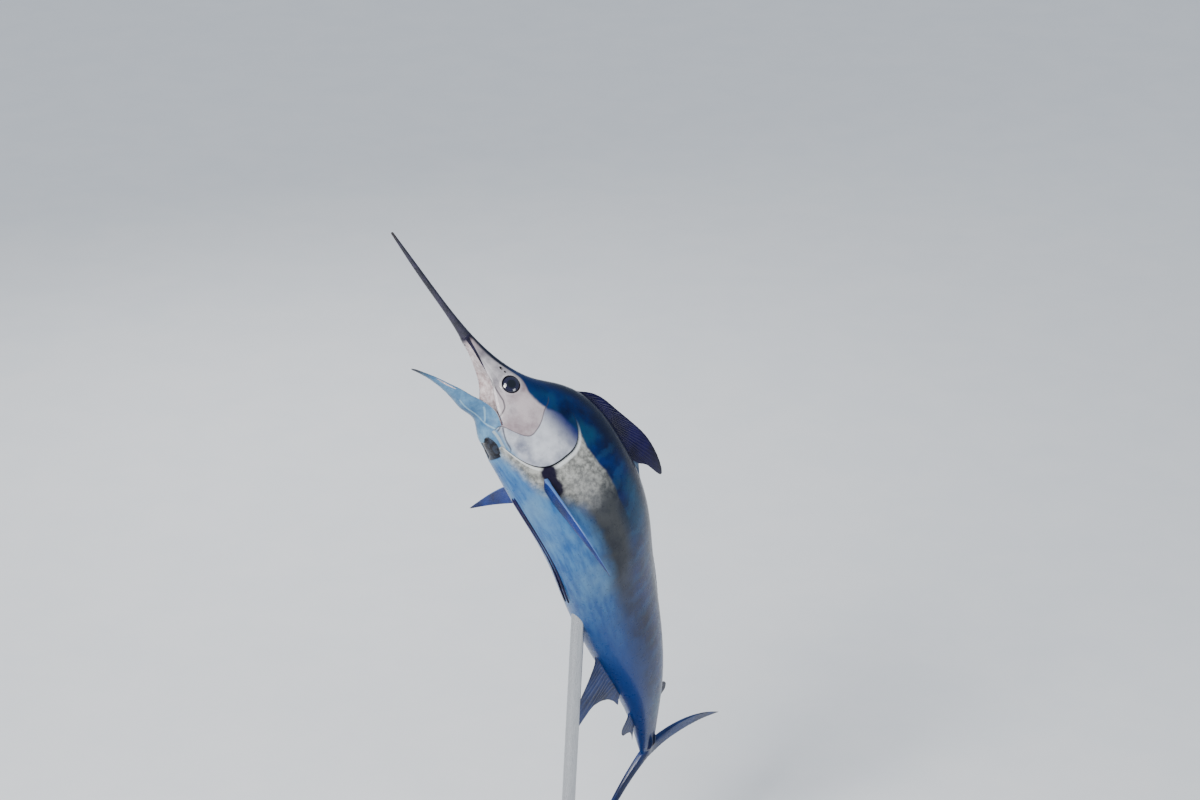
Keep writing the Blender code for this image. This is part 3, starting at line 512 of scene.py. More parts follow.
def jawTurn(points, station):
    # the lower jaw swings down about its hinge, by the gape eased in from the mouth's end
    hinge = np.array([mouth["end"], 0, float(lipHeight(mouth["end"]))]) * long
    angle = (mouth["gape"] * ease((mouth["end"] - station) / mouth["bend"]))[:, None]
    arm = points - hinge
    aft = arm[..., 0] * np.cos(angle) - arm[..., 2] * np.sin(angle)
    rise = arm[..., 2] * np.cos(angle) + arm[..., 0] * np.sin(angle)
    return np.stack([aft, arm[..., 1], rise], -1) + hinge


skinGrid = {
    "mouthRows": 136, "coverRows": 96, "trunkRows": 128, "throatRows": 13, "inside": 33,
    "fine": 0.0205, "coarse": 0.056, "fineFrom": -1.25, "fineTo": 0.65, "fineEase": 0.15,
    "gillSteps": (-6, -4, -2.6, -1.6, -0.9, -0.4, 0, 0.5, 1.1, 1.8, 2.8, 4.2, 6.2, 9, 12),
    "trunkSpread": 1.12, "evenFrom": 0.27, "evenEase": 0.15,
}
parts = {"head": 0, "palate": 1, "jaw": 2, "floor": 3, "throat": 4, "trunk": 5}


def closeShares(first, last):
    # shares of the way round, spaced finely where the head's lines run and coarsely over back and belly
    angle = np.linspace(first, last, 2000)
    side = flank(angle)
    fine = ease((side - skinGrid["fineFrom"]) / skinGrid["fineEase"])
    fine = fine * ease((skinGrid["fineTo"] - side) / skinGrid["fineEase"])
    dense = fine / skinGrid["fine"] + (1 - fine) / skinGrid["coarse"]
    step = abs(last - first) / (len(angle) - 1)
    total = np.concatenate([[0], np.cumsum((dense[1:] + dense[:-1]) / 2 * step)])
    count = int(round(total[-1])) + 1
    return np.interp(np.linspace(0, total[-1], count), total, (angle - first) / (last - first))


def upperGrids(upper, turn):
    # the head over the mouth, and the palate: a vault as sin^0.8 between its lips
    rows = np.linspace(body["billEnd"], mouth["end"], skinGrid["mouthRows"])[:, None]
    lip = lipAngle(rows)
    angles = lip + (np.pi - 2 * lip) * upper
    head = outerSkin(rows, angles)
    slope = (head[:, :1, 2] - head[:, -1:, 2]) * (1 - np.cos(turn)) / 2
    arch = palateRise(rows) * long * np.sin(turn) ** mouth["arch"]
    palate = np.stack([rows * long + 0 * turn,
                       head[:, -1:, 1] * np.cos(turn),
                       head[:, -1:, 2] + arch + slope], -1)
    return ((head, rows, angles, parts["head"], False),
            (palate, rows, -np.pi / 2 + 0 * rows * turn, parts["palate"], False))


def lowerGrids(down, turn):
    # the lower jaw and the mouth's floor, a trough as sin^0.8, both narrowed to a round tip and swung open
    count = skinGrid["mouthRows"] - len(mouth["jawTip"])
    rows = np.concatenate([mouth["jawTip"], np.linspace(0, mouth["end"], count)])[:, None]
    held = np.clip(rows, 0, None)
    lip = lipAngle(held)
    angles = lip + (-np.pi - 2 * lip) * down
    closing = ease((mouth["end"] - rows) / 0.02)
    edge = np.minimum(np.arange(len(down)), np.arange(len(down))[::-1])
    lift = mouth["jawLip"] * bump((edge - 3) / 2.0) * (ease(rows / 0.03) * closing)
    chin = bodyPoint(held, angles)
    chin = chin + bodyNormal(held, angles) * lift[..., None]
    trough = mouth["trough"] * ease(held / mouth["troughEase"]) * long * np.sin(turn) ** mouth["arch"]
    tongue = mouth["tongue"] * bump((turn - np.pi / 2) / 0.35) * ease(held / 0.05)
    floor = np.stack([held * long + 0 * turn,
                      -chin[:, :1, 1] * np.cos(turn),
                      chin[:, :1, 2] - trough + tongue], -1)
    taper = np.sqrt(np.clip(1 - (np.clip(rows, None, 0) / mouth["jawRound"]) ** 2, 0, 1))[..., None]
    middle = (chin.mean(1, keepdims=True) + floor.mean(1, keepdims=True)) / 2
    swung = []
    for ring in (chin, floor):
        ring = middle + (ring - middle) * taper
        ring[..., 0] = rows * long
        ring[..., 2] -= mouth["jawDrop"] * closing
        swung.append(jawTurn(ring, rows[:, 0]))
    bottom = jawTurn(floor[-1:], rows[-1:, 0])[0][::-1]
    return ((swung[0], rows, angles, parts["jaw"], False),
            (swung[1], rows, np.pi / 2 + 0 * held * turn, parts["floor"], False)), bottom


def throatGrid(top, bottom, turn):
    # the throat's end wall: straight ways from palate to floor, pushed aft by a sine both ways
    down = np.linspace(0, 1, skinGrid["throatRows"])[:, None, None]
    depth = mouth["throat"] * np.sin(np.pi * down[..., 0]) * np.sin(turn) ** 0.6
    wall = top * (1 - down) + bottom * down + np.stack([depth, 0 * depth, 0 * depth], -1)
    return wall, mouth["end"] + 0 * depth, np.pi / 2 + 0 * depth, parts["throat"], False


def trunkGrid(upper, down):
    # gill covers and trunk: fine rows at the gill's slit, columns from the head's spacing to an even one
    near = gill["rear"] + np.array(skinGrid["gillSteps"]) * 0.001 / long
    front = np.linspace(mouth["end"], near[0], skinGrid["coverRows"])[:-1]
    aft = np.linspace(0, 1, skinGrid["trunkRows"])[1:] ** skinGrid["trunkSpread"]
    rows = np.concatenate([front, near, near[-1] + (body["tailEnd"] - near[-1]) * aft])[:, None]
    lip = float(lipAngle(mouth["end"]))
    below = (lip + (-np.pi - 2 * lip) * down)[-2:0:-1] + 2 * np.pi
    full = np.concatenate([lip + (np.pi - 2 * lip) * upper, below])
    even = lip + 2 * np.pi * np.arange(len(full)) / len(full)
    blend = ease((rows - skinGrid["evenFrom"]) / skinGrid["evenEase"])
    angles = full * (1 - blend) + even * blend
    stations = gillRows(rows, angles)
    return outerSkin(stations, angles), stations, angles, parts["trunk"], True


def skinShape():
    # six grids that share their edges, each with stations, angles, part and whether it goes all round
    lip = float(lipAngle(mouth["end"]))
    upper, down = closeShares(lip, np.pi - lip), closeShares(lip, -np.pi - lip)
    turn = np.linspace(0, np.pi, skinGrid["inside"])[None, :]
    head, palate = upperGrids(upper, turn)
    (jaw, floor), bottom = lowerGrids(down, turn)
    throat = throatGrid(palate[0][-1], bottom, turn)
    return head, palate, jaw, floor, throat, trunkGrid(upper, down)


print("stage: shapes ready")


marks = {
    "backEdge": ((-0.19, 0.20), (0.0, 0.18), (0.0345, 0.24), (0.066, 0.45), (0.0893, 0.575),
                 (0.1046, 0.59), (0.1118, 0.55), (0.130, 0.27), (0.1435, 0.19), (0.1704, 0.197),
                 (0.1854, 0.265), (0.2087, 0.30), (0.235, 0.33), (0.262, 0.27), (0.31, 0.279),
                 (0.354, 0.218), (0.379, 0.20), (0.441, 0.05), (0.60, -0.02), (0.80, 0.0), (0.972, 0.0)),
    "bellyEdge": ((-0.19, -1.4), (0.15, -1.3), (0.22, -0.98), (0.27, -0.80), (0.296, -0.60), (0.328, -0.40),
                  (0.375, -0.40), (0.50, -0.45), (0.70, -0.50), (0.972, -0.50)),
    "cheekLine": ((-0.90, 0.150), (-0.679, 0.1537), (-0.517, 0.1725), (-0.37, 0.1872), (-0.2115, 0.1876),
                  (-0.0025, 0.1803), (0.115, 0.173), (0.30, 0.167), (0.46, 0.160)),
    "snoutEdge": ((-1.57, 0.050), (-1.0, 0.070), (-0.65, 0.092), (-0.45, 0.078), (-0.365, 0.062),
                  (-0.308, 0.050), (-0.20, 0.034), (-0.12, 0.021), (-0.03, 0.0155), (0.25, 0.0150),
                  (0.50, 0.020), (0.80, 0.036), (1.57, 0.060)),
    "maxilla": ((0.078, -0.47), (0.0959, -0.417), (0.115, -0.388), (0.1219, -0.383), (0.1275, -0.414),
                (0.1322, -0.464), (0.1381, -0.650)),
    "jawJoint": ((0.1381, -0.650), (0.146, -0.70), (0.1518, -0.78), (0.154, -0.86)),
    "coverFoot": ((0.1541, -0.711), (0.1672, -0.778), (0.1788, -0.810), (0.1905, -0.847), (0.1947, -1.03)),
    "throatEdge": ((0.150, -0.98), (0.160, -0.93), (0.172, -0.93), (0.184, -0.95), (0.193, -1.00)),
    "jawSeam": ((0.1127, -0.78), (0.1170, -0.88), (0.1211, -0.98), (0.1305, -1.13)),
    "jawKeel": ((0.0799, -1.075), (0.0927, -1.18), (0.1217, -1.265), (0.1413, -1.018), (0.1518, -0.868)),
    # line along which a shadow is painted behind the pectoral's root
    "axilShadow": ((0.252, -0.50), (0.264, -0.52), (0.282, -0.56)),
}
backEdge, bellyEdge, cheekLine, snoutEdge = (
    spline(marks[key]) for key in ("backEdge", "bellyEdge", "cheekLine", "snoutEdge"))


def lineDistance(points, line):
    # least distance from each point to the chords between samples of a marked line
    knots = np.array(line, float)
    at = np.linspace(0, len(knots) - 1, 40)
    index = np.arange(len(knots))
    station, angle = (spline(np.stack([index, column], 1))(at) for column in knots.T)
    samples = bodyPoint(station, angle)
    best = np.full(len(points), 1.0)
    for first, last in zip(samples[:-1], samples[1:]):
        chord = last - first
        share = np.clip((points - first) @ chord / (chord @ chord), 0, 1)[:, None]
        best = np.minimum(best, np.linalg.norm(points - first - chord * share, axis=1))
    return best


def skinValues(station, angle, part):
    # what the skin's look reads: places on the body, and distances in metres past or from each marked line
    station, angle = np.ravel(station), np.ravel(angle)
    part = np.broadcast_to(part, station.shape)
    side = flank(angle)
    flat = bodyPoint(station, side)
    girth = (back(station) - belly(station)) / 2 * long
    jaw = part == parts["jaw"]
    inside = np.isin(part, (parts["palate"], parts["floor"], parts["throat"])).astype(float)
    lines = [lineDistance(flat, marks[key]) for key in ("maxilla", "jawJoint", "coverFoot")]
    jawLines = np.minimum(lineDistance(flat, marks["jawSeam"]), lineDistance(flat, marks["jawKeel"]))
    return {
        "along": station,
        "side": side,
        "overBack": (side - backEdge(station)) * girth,
        "overBelly": (side - bellyEdge(station)) * girth,
        "gillPast": np.clip((station - gillRear(side)) * long, -0.4, 0.4),
        "cheekPast": np.clip((station - cheekLine(side)) * long, -0.4, 0.4),
        "snoutPast": (station - snoutEdge(side)) * long,
        # distance to the line of the painted shadow behind the pectoral's root
        "axilShadow": lineDistance(flat, marks["axilShadow"]) + inside,
        "hollow": throatHollow(station, side) * (1 - inside) * (1 - jaw),
        "nostril": np.clip(nostrilDistance(flat), 0, 10) + 10 * inside,
        "seam": np.where(jaw, jawLines, np.where(inside > 0, 1.0, np.minimum.reduce(lines))),
        "throat": np.where(jaw | (inside > 0), 1.0, lineDistance(flat, marks["throatEdge"])),
        "inside": inside,
        "jaw": jaw.astype(float),
        "eyeGap": np.where(np.abs(station - eyes["station"]) < 0.06, eyeDistance(flat), 1.0),
    }


def surfaceMap(station, angle):
    # u runs aft and v up the flank, both in metres, alike on both sides
    station, angle = np.broadcast_arrays(station, angle)
    girth = (back(station) - belly(station)) / 2 * long
    return np.stack([station * long, flank(angle) * (girth * 0.55 + 0.09)], -1)


def skinPiece():
    # all grids in one mesh, closed under the bill, at the jaw's tip and at the tail
    points, faces, values, uvs, rims = [], [], [], [], []
    start = 0
    for grid, station, angle, part, wrap in skinShape():
        rows, columns, _ = grid.shape
        station, angle = np.broadcast_to(station, (rows, columns)), np.broadcast_to(angle, (rows, columns))
        points.append(grid.reshape(-1, 3))
        faces.append(gridFaces(rows, columns, start, wrap))
        values.append(skinValues(station, angle, part))
        uvs.append(surfaceMap(station, angle).reshape(-1, 2))
        rims.append(list(range(start, start + columns)))
        start += rows * columns
    joined = {key: np.concatenate([one[key] for one in values]) for key in values[0]}
    ends = [rims[0] + rims[1][1:-1], rims[2] + rims[3][1:-1], list(range(start - columns, start))]
    return newMesh("marlin_skin", toWorld(np.concatenate(points)), np.concatenate(faces).tolist() + ends,
                   joined, np.concatenate(uvs))


def eyeGrid(distance, turn):
    # body surface under polar places round the eye, by Newton steps on station and angle
    right, up = distance * np.cos(turn), distance * np.sin(turn)
    target = eyePoint + right[..., None] * eyeAft + up[..., None] * eyeUp
    station = np.full(distance.shape, eyes["station"])
    angle = np.full(distance.shape, eyes["angle"])
    d = 1e-4
    for _ in range(8):
        here = bodyPoint(station, angle)
        miss = here - target
        first = np.stack([miss @ eyeAft, miss @ eyeUp], -1)
        a = (bodyPoint(station + d, angle) - here) / d
        b = (bodyPoint(station, angle + d) - here) / d
        matrix = np.stack([np.stack([a @ eyeAft, b @ eyeAft], -1), np.stack([a @ eyeUp, b @ eyeUp], -1)], -2)
        move = np.linalg.solve(matrix, first[..., None])[..., 0]
        station, angle = station - move[..., 0], angle - move[..., 1]
    return station, angle


def eyeRim(name, side):
    # closed ring on the skin: across it the height goes up to a crest and down into the socket
    reach, lift = np.array(eyes["rim"]).T
    count, sides = len(reach), eyes["rimSides"]
    turn = np.linspace(0, 2 * np.pi, sides, endpoint=False)[:, None]
    distance = reach[None, :] + 0 * turn
    lift = lift[None, :] * (1 + eyes["brow"] * np.sin(turn) * (lift > 0))
    station, angle = eyeGrid(distance, turn + 0 * distance)
    points = bodyPoint(station, angle) + bodyNormal(station, angle) * lift[..., None]
    faces = gridFaces(sides, count, 0, True).tolist()
    faces += [[(sides - 1) * count + j, (sides - 1) * count + (j + 1) % count, (j + 1) % count, j]
              for j in range(count)]
    values = skinValues(station, angle, parts["head"])
    values["eyeGap"] = np.ravel(distance)
    if side < 0:
        angle = np.pi - angle
    return newMesh(name, toWorld(points * np.array([1, side, 1])), faces, values, surfaceMap(station, angle))


def eyeBall(name, side):
    # flattened ball: radius sin t across, flatness times radius cos t along the eye's axis
    rings, sides = eyes["ballRings"], eyes["ballSides"]
    t = np.linspace(0, np.pi, rings)[:, None]
    turn = np.linspace(0, 2 * np.pi, sides, endpoint=False)[None, :]
    out = eyes["radius"] * eyes["flatness"] * np.cos(t) - eyes["sink"] + 0 * turn
    right, up = eyes["radius"] * np.sin(t) * np.cos(turn), eyes["radius"] * np.sin(t) * np.sin(turn)
    points = eyePoint + eyeOut * out[..., None] + eyeAft * right[..., None] + eyeUp * up[..., None]
    places = np.stack([right, up], -1) / eyes["radius"]
    points = points * np.array([1, side, 1])
    return newMesh(name, toWorld(points), gridFaces(rings, sides, 0, True), None, places)


bill = {"tip": -0.190, "round": 0.002, "tipRows": 9, "rows": 150, "sides": 64, "end": 0.022, "under": 0.0016}


def billShape():
    # round spear: the body's section to a rounded tip, running a little way in under the skin
    start = bill["tip"] + bill["round"]
    sides = bill["sides"]
    tip = start - bill["round"] * np.cos(np.linspace(0, np.pi / 2, bill["tipRows"]))
    rows = np.concatenate([tip, np.linspace(start + 0.001, bill["end"], bill["rows"])])[:, None]
    angles = np.linspace(0, 2 * np.pi, sides, endpoint=False)[None, :]
    points = bodyPoint(rows, angles)
    blunt = np.sqrt(np.clip(1 - (np.clip(start - rows, 0, None) / bill["round"]) ** 2, 0, 1))[..., None]
    middle = points.mean(1, keepdims=True)
    points = middle + (points - middle) * blunt
    under = bill["under"] * ease((rows - body["billEnd"]) / 0.003)
    points = points - bodyNormal(rows, angles) * under[..., None]
    values = skinValues(rows + 0 * angles, angles + 0 * rows, parts["head"])
    count = len(rows) * sides
    faces = gridFaces(len(rows), sides, 0, True).tolist() + [list(range(count - sides, count))]
    return newMesh("bill_spear", toWorld(points), faces, values, surfaceMap(rows, angles))


def curveThrough(points):
    # smooth curve by its share of the way, each coordinate a natural cubic of the chord length
    points = np.array(points, float)
    knots = np.concatenate([[0], np.cumsum(np.linalg.norm(np.diff(points, axis=0), axis=1))])
    first = spline(np.stack([knots / knots[-1], points[:, 0]], 1))
    second = spline(np.stack([knots / knots[-1], points[:, 1]], 1))
    return lambda share: np.stack([first(share), second(share)], -1)


fins = {
    "dorsal_lobe": {"roots": (0.190, 0.341, 1.2), "line": "back", "rays": 26, "base": 0.006, "curve": 0.10,
                    "path": ((0.196, 0.002), (0.213, 0.0135), (0.255, 0.024), (0.314, 0.0425),
                             (0.375, 0.0540), (0.411, 0.0530), (0.393, 0.0400), (0.371, 0.0270),
                             (0.3585, 0.0135))},
    "dorsal_low": {"roots": (0.3405, 0.765, 1.0), "line": "back", "rays": 34, "base": 0.004, "curve": 0.0,
                   "path": ((0.3575, 0.0135), (0.375, 0.0085), (0.42, 0.010), (0.50, 0.0155),
                            (0.57, 0.0185), (0.65, 0.0155), (0.72, 0.010), (0.785, 0.003))},
    "dorsal_second": {"roots": (0.820, 0.866, 1.0), "line": "back", "rays": 7, "base": 0.004, "curve": 0.0,
                      "path": ((0.831, 0.004), (0.849, 0.029), (0.862, 0.0285), (0.868, 0.018),
                               (0.904, 0.012))},
    "anal_second": {"roots": (0.822, 0.866, 1.0), "line": "belly", "rays": 7, "base": 0.004, "curve": 0.0,
                    "path": ((0.833, -0.004), (0.851, -0.029), (0.864, -0.0285), (0.870, -0.018),
                             (0.905, -0.012))},
    "anal_first": {"roots": (0.632, 0.752, 1.15), "line": "belly", "rays": 14, "base": 0.006, "curve": -0.15,
                   "path": ((0.640, -0.003), (0.668, -0.045), (0.703, -0.092), (0.727, -0.103),
                            (0.722, -0.075), (0.722, -0.045), (0.738, -0.024), (0.775, -0.012))},
    "edge": 0.0007, "rib": 0.0014, "sink": 0.022, "scallop": 0.0018,
}


def rayRidge(across, rays):
    # ridge over each ray: half of 1 minus the cosine of the rays' turns, to the third power
    return (0.5 - 0.5 * np.cos(2 * np.pi * rays * across)) ** 3


def finHalf(across, out, span, rays, base):
    # half thickness: thins to the edge, thicker in front, ridged on the rays, flared at the root
    plain = fins["edge"] + (base - fins["edge"]) * (1 - out) ** 1.3 * (0.55 + 0.45 * (1 - across) ** 2)
    tall = np.clip(span / 0.12, 0.25, 1)
    flare = 0.8 * base * tall * bump(out * span / 0.012)
    return plain + flare + fins["rib"] * tall * rayRidge(across, rays) * (1 - out ** 3)


def finPlaces(across, out, ridge):
    # what the fins' looks read: the way back and the way out as a map, both again as values, and the rays
    places = np.stack(np.broadcast_arrays(across, out), -1)
    ray = np.broadcast_to(ridge, places.shape[:2])
    return {"across": places[..., 0], "out": places[..., 1], "ray": ray}, places

def midlineFin(name, rows=48):
    # fin in the middle plane: straight ways from roots to tips, bowed by a parabola
    form = fins[name]
    outline = back if form["line"] == "back" else belly
    first, last, power = form["roots"]
    across = np.linspace(0, 1, form["rays"] * 8 + 1)
    station = first + (last - first) * across ** power
    root = np.stack([station, outline(station)], -1)
    tip = curveThrough(form["path"])(across)
    tip = np.stack([tip[:, 0], outline(tip[:, 0]) + tip[:, 1]], -1)
    lean = tip - root
    span = np.linalg.norm(lean, axis=-1, keepdims=True)
    tip = tip - lean / np.maximum(span, 1e-6) * (fins["scallop"] / long * (1 - rayRidge(across, form["rays"]))
                                                 * ease(across * 3))[:, None]
    out = np.linspace(0, 1, rows)[None, :, None]
    points = root[:, None] * (1 - out) + tip[:, None] * out
    side = np.stack([lean[:, 1], -lean[:, 0]], -1)[:, None]
    points = points + form["curve"] * out * (1 - out) * side * (1 - across[:, None, None])
    points[:, 0] -= lean / np.maximum(span, 1e-6) * fins["sink"] / long
    half = finHalf(across[:, None], out[..., 0], span * long, form["rays"], form["base"])
    left = np.stack([points[..., 0] * long, half, points[..., 1] * long], -1)
    values, places = finPlaces(across[:, None], out[..., 0], rayRidge(across, form["rays"])[:, None])
    return plateMesh(name, toWorld(left), toWorld(left * np.array([1, -1, 1])), values, places)


tail = {
    "path": ((1.112, 0.203), (1.070, 0.150), (1.035, 0.095), (1.012, 0.045), (1.003, 0.0)),
    "hold": (0.033, 0.105), "sink": 0.003, "scallop": 0.0008, "edge": 0.0008, "plate": 0.0030,
    "front": 0.0045, "frontWide": 0.12, "rib": 0.0012, "rays": 22, "rows": 60,
}


def tailLobe(name, up):
    # each ray a quadratic curve from the stalk's end, held aft at first, to the trailing edge
    across = np.linspace(0, 1, tail["rays"] * 8 + 1)[:, None]
    out = np.linspace(0, 1, tail["rows"])[None, :]
    middle = float(back(body["tailEnd"]) + belly(body["tailEnd"])) / 2
    reach = float(back(body["tailEnd"]) - belly(body["tailEnd"])) / 2
    aftHold, outHold = tail["hold"]
    root = np.stack([np.full(len(across), body["tailEnd"] - tail["sink"]), reach * (1 - across[:, 0])], -1)
    tip = curveThrough(tail["path"])(across[:, 0])
    ridge = rayRidge(across, tail["rays"])
    tip[:, 0] -= tail["scallop"] * (1 - ridge[:, 0]) * ease(across[:, 0] * 3)
    hold = root + np.stack([aftHold + 0 * across[:, 0], outHold * (1 - across[:, 0]) ** 1.5], -1)
    t = out[..., None]
    points = (1 - t) ** 2 * root[:, None] + 2 * t * (1 - t) * hold[:, None] + t ** 2 * tip[:, None]
    curved = np.sqrt(np.clip(1 - (root[:, 1] / reach) ** 2, 0.06, 1))[:, None]
    cap = float(width(body["tailEnd"])) * long * curved
    front = tail["front"] * bump(across / tail["frontWide"]) * (1 - out ** 2)
    half = tail["edge"] + (cap - tail["edge"]) * (1 - out) ** 3 + tail["plate"] * (1 - out) + front
    half = half + tail["rib"] * ridge * np.sin(np.pi * out ** 0.6)
    half = half * np.sqrt(np.clip(across / 0.012 + 0.25, 0, 1))
    left = np.stack([points[..., 0] * long, half, (middle + up * points[..., 1]) * long], -1)
    values, places = finPlaces(across, out, ridge)
    return plateMesh(name, toWorld(left), toWorld(left * np.array([1, -1, 1])), values, places)


pectoral = {
    "long": 0.42, "chord": 0.095, "root": (0.268, -0.63), "tuck": 0.16, "rays": 15, "rows": 72,
    "left": (0.539, 0.779, -0.321), "right": (0.035, 0.996, -0.082), "chordLine": (1.0, 0.0, -0.30),
    "sweep": 0.050, "droop": 0.020, "camber": 0.006, "tip": 0.004, "edge": 0.0007, "base": 0.0070,
    "flare": 0.005, "rib": 0.0010,
}


def pectoralFin(name, side, aim):
    # swept blade: chord shrinks as (1 - t^1.6)^0.85, drawn aft as t^2.2 and down as t squared
    station, angle = pectoral["root"]
    start = bodyPoint(station, angle) * np.array([1, side, 1])
    aim = np.array(aim, float) * np.array([1, side, 1])
    aim /= np.linalg.norm(aim)
    chord = np.array(pectoral["chordLine"])
    chord -= aim * (chord @ aim)
    chord /= np.linalg.norm(chord)
    normal = np.cross(aim, chord)
    out = np.linspace(-pectoral["tuck"], 1, pectoral["rows"])[None, :]
    across = np.linspace(0, 1, pectoral["rays"] * 8 + 1)[:, None]
    reach = np.clip(out, 0, 1)
    ridge = rayRidge(across, pectoral["rays"])
    blade = pectoral["chord"] * (1 - reach ** 1.6) ** 0.85 * (1 - 0.18 * reach) + pectoral["tip"]
    blade = blade * (1 - 0.02 * (1 - ridge) * (across > 0.5))
    shift = pectoral["sweep"] * reach ** 2.2 + blade * (across - 0.25)
    rise = -pectoral["droop"] * reach ** 2 + pectoral["camber"] * np.sin(np.pi * across) * (1 - reach)
    points = start + aim * (out * pectoral["long"])[..., None]
    points = points + chord * shift[..., None] + normal * rise[..., None]
    thick = np.sin(np.pi * np.clip(across * 0.86 + 0.14, 0, 1)) ** 0.7
    half = pectoral["base"] * (1 - reach) ** 1.1 + 0.0012 * (1 - reach) + pectoral["flare"] * bump(out / 0.04)
    half = pectoral["edge"] + half * thick + pectoral["rib"] * ridge * (1 - reach ** 3)
    lift = normal * half[..., None]
    values, places = finPlaces(across, reach, ridge)
    return plateMesh(name, toWorld(points + lift), toWorld(points - lift), values, places)


pelvic = {"from": 0.246, "to": 0.480, "apart": 0.0095, "halfWidth": 0.0075, "halfHeight": 0.0110, "rings": 90,
          "sides": 40, "grooves": 5, "grooveDeep": 0.10, "hang": 0.004, "rootLift": 0.018, "press": 0.012}


def pelvicFin(name, side):
    # slim tapered strand along the belly: an oval section drawn down aft, with a grooved surface
    rings, sides = pelvic["rings"], pelvic["sides"]
    share = np.linspace(0, 1, rings)[:, None]
    turn = np.linspace(0, 2 * np.pi, sides, endpoint=False)[None, :]
    station = pelvic["from"] + (pelvic["to"] - pelvic["from"]) * share
    ray = 0.5 + 0.5 * np.cos(pelvic["grooves"] * turn)
    root = ease(share / 0.10)
    end = np.sqrt(np.clip((1 - share) / 0.02, 0.02, 1))
    form = (1 - pelvic["grooveDeep"] * ray) * end * (0.35 + 0.65 * root)
    halfWidth = pelvic["halfWidth"] * (1 - 0.75 * share ** 1.5) * form
    halfHeight = pelvic["halfHeight"] * (1 - 0.55 * share) * form
    rise = pelvic["hang"] + pelvic["rootLift"] * (1 - root) - pelvic["press"] * ease((share - 0.45) / 0.55)
    points = np.stack([station * long + 0 * turn, side * pelvic["apart"] + halfWidth * np.cos(turn),
                       belly(station) * long + rise + halfHeight * np.sin(turn)], -1)
    values, places = finPlaces(turn / (2 * np.pi), share, ray)
    caps = [list(range(sides)), list(range((rings - 1) * sides, rings * sides))]
    return newMesh(name, toWorld(points), gridFaces(rings, sides, 0, True).tolist() + caps, values, places)


stand = {"baseMiddle": (0.1316, -0.1559), "baseRadius": 0.62, "baseHeight": 0.05, "edge": 0.008,
         "flangeRadius": 0.085, "flangeHeight": 0.0143, "rodFoot": (-0.0566, -0.4230)}


def lathe(name, profile, middle, sides):
    # profile of radius and height turned about an upright line, closed at both ends
    profile = np.array(profile, float)
    turn = np.linspace(0, 2 * np.pi, sides, endpoint=False)[None, :]
    radius, height = profile[:, :1], profile[:, 1:]
    across, along = radius * np.cos(turn), radius * np.sin(turn)
    points = np.stack([middle[0] + across, middle[1] + along, height + 0 * turn], -1)
    faces = gridFaces(len(profile), sides, 0, True).tolist()
    faces += [list(range(sides)), list(range((len(profile) - 1) * sides, len(profile) * sides))]
    return newMesh(name, points, faces)


def roundedProfile(radius, low, high, edge, steps=7):
    # a disc's side: a quarter round of the edge's size above and a small one below
    t = np.linspace(0, np.pi / 2, steps)
    small = edge * 0.35
    lower = np.stack([radius - small + small * np.sin(t), low + small - small * np.cos(t)], 1)
    upper = np.stack([radius - edge + edge * np.cos(t), high - edge + edge * np.sin(t)], 1)
    inner = [[0.001, low]], [[radius * 0.5, low]]
    outer = [[radius - edge * 1.6, high]], [[radius * 0.5, high]], [[0.001, high]]
    return np.concatenate([*inner, lower, upper, *outer])


hornTones = {"dark": (8, 7, 22), "light": (34, 29, 54), "grain": (96, 94, 112)}


def hornTone(look, place):
    # mottled brown grey horn with pale grains
    tones = palette(hornTones)
    cloud = look.noise(place, 26.0, 6.0, 0.7)
    grains = look.rise(look.spots(place, 420.0), 0.25, 0.75)
    tone = look.mottle(cloud, 0.36, 0.68, tones["dark"], tones["light"])
    tone = look.mix(look.times(grains, 0.10), tone, tones["grain"])
    return tone, grains, cloud


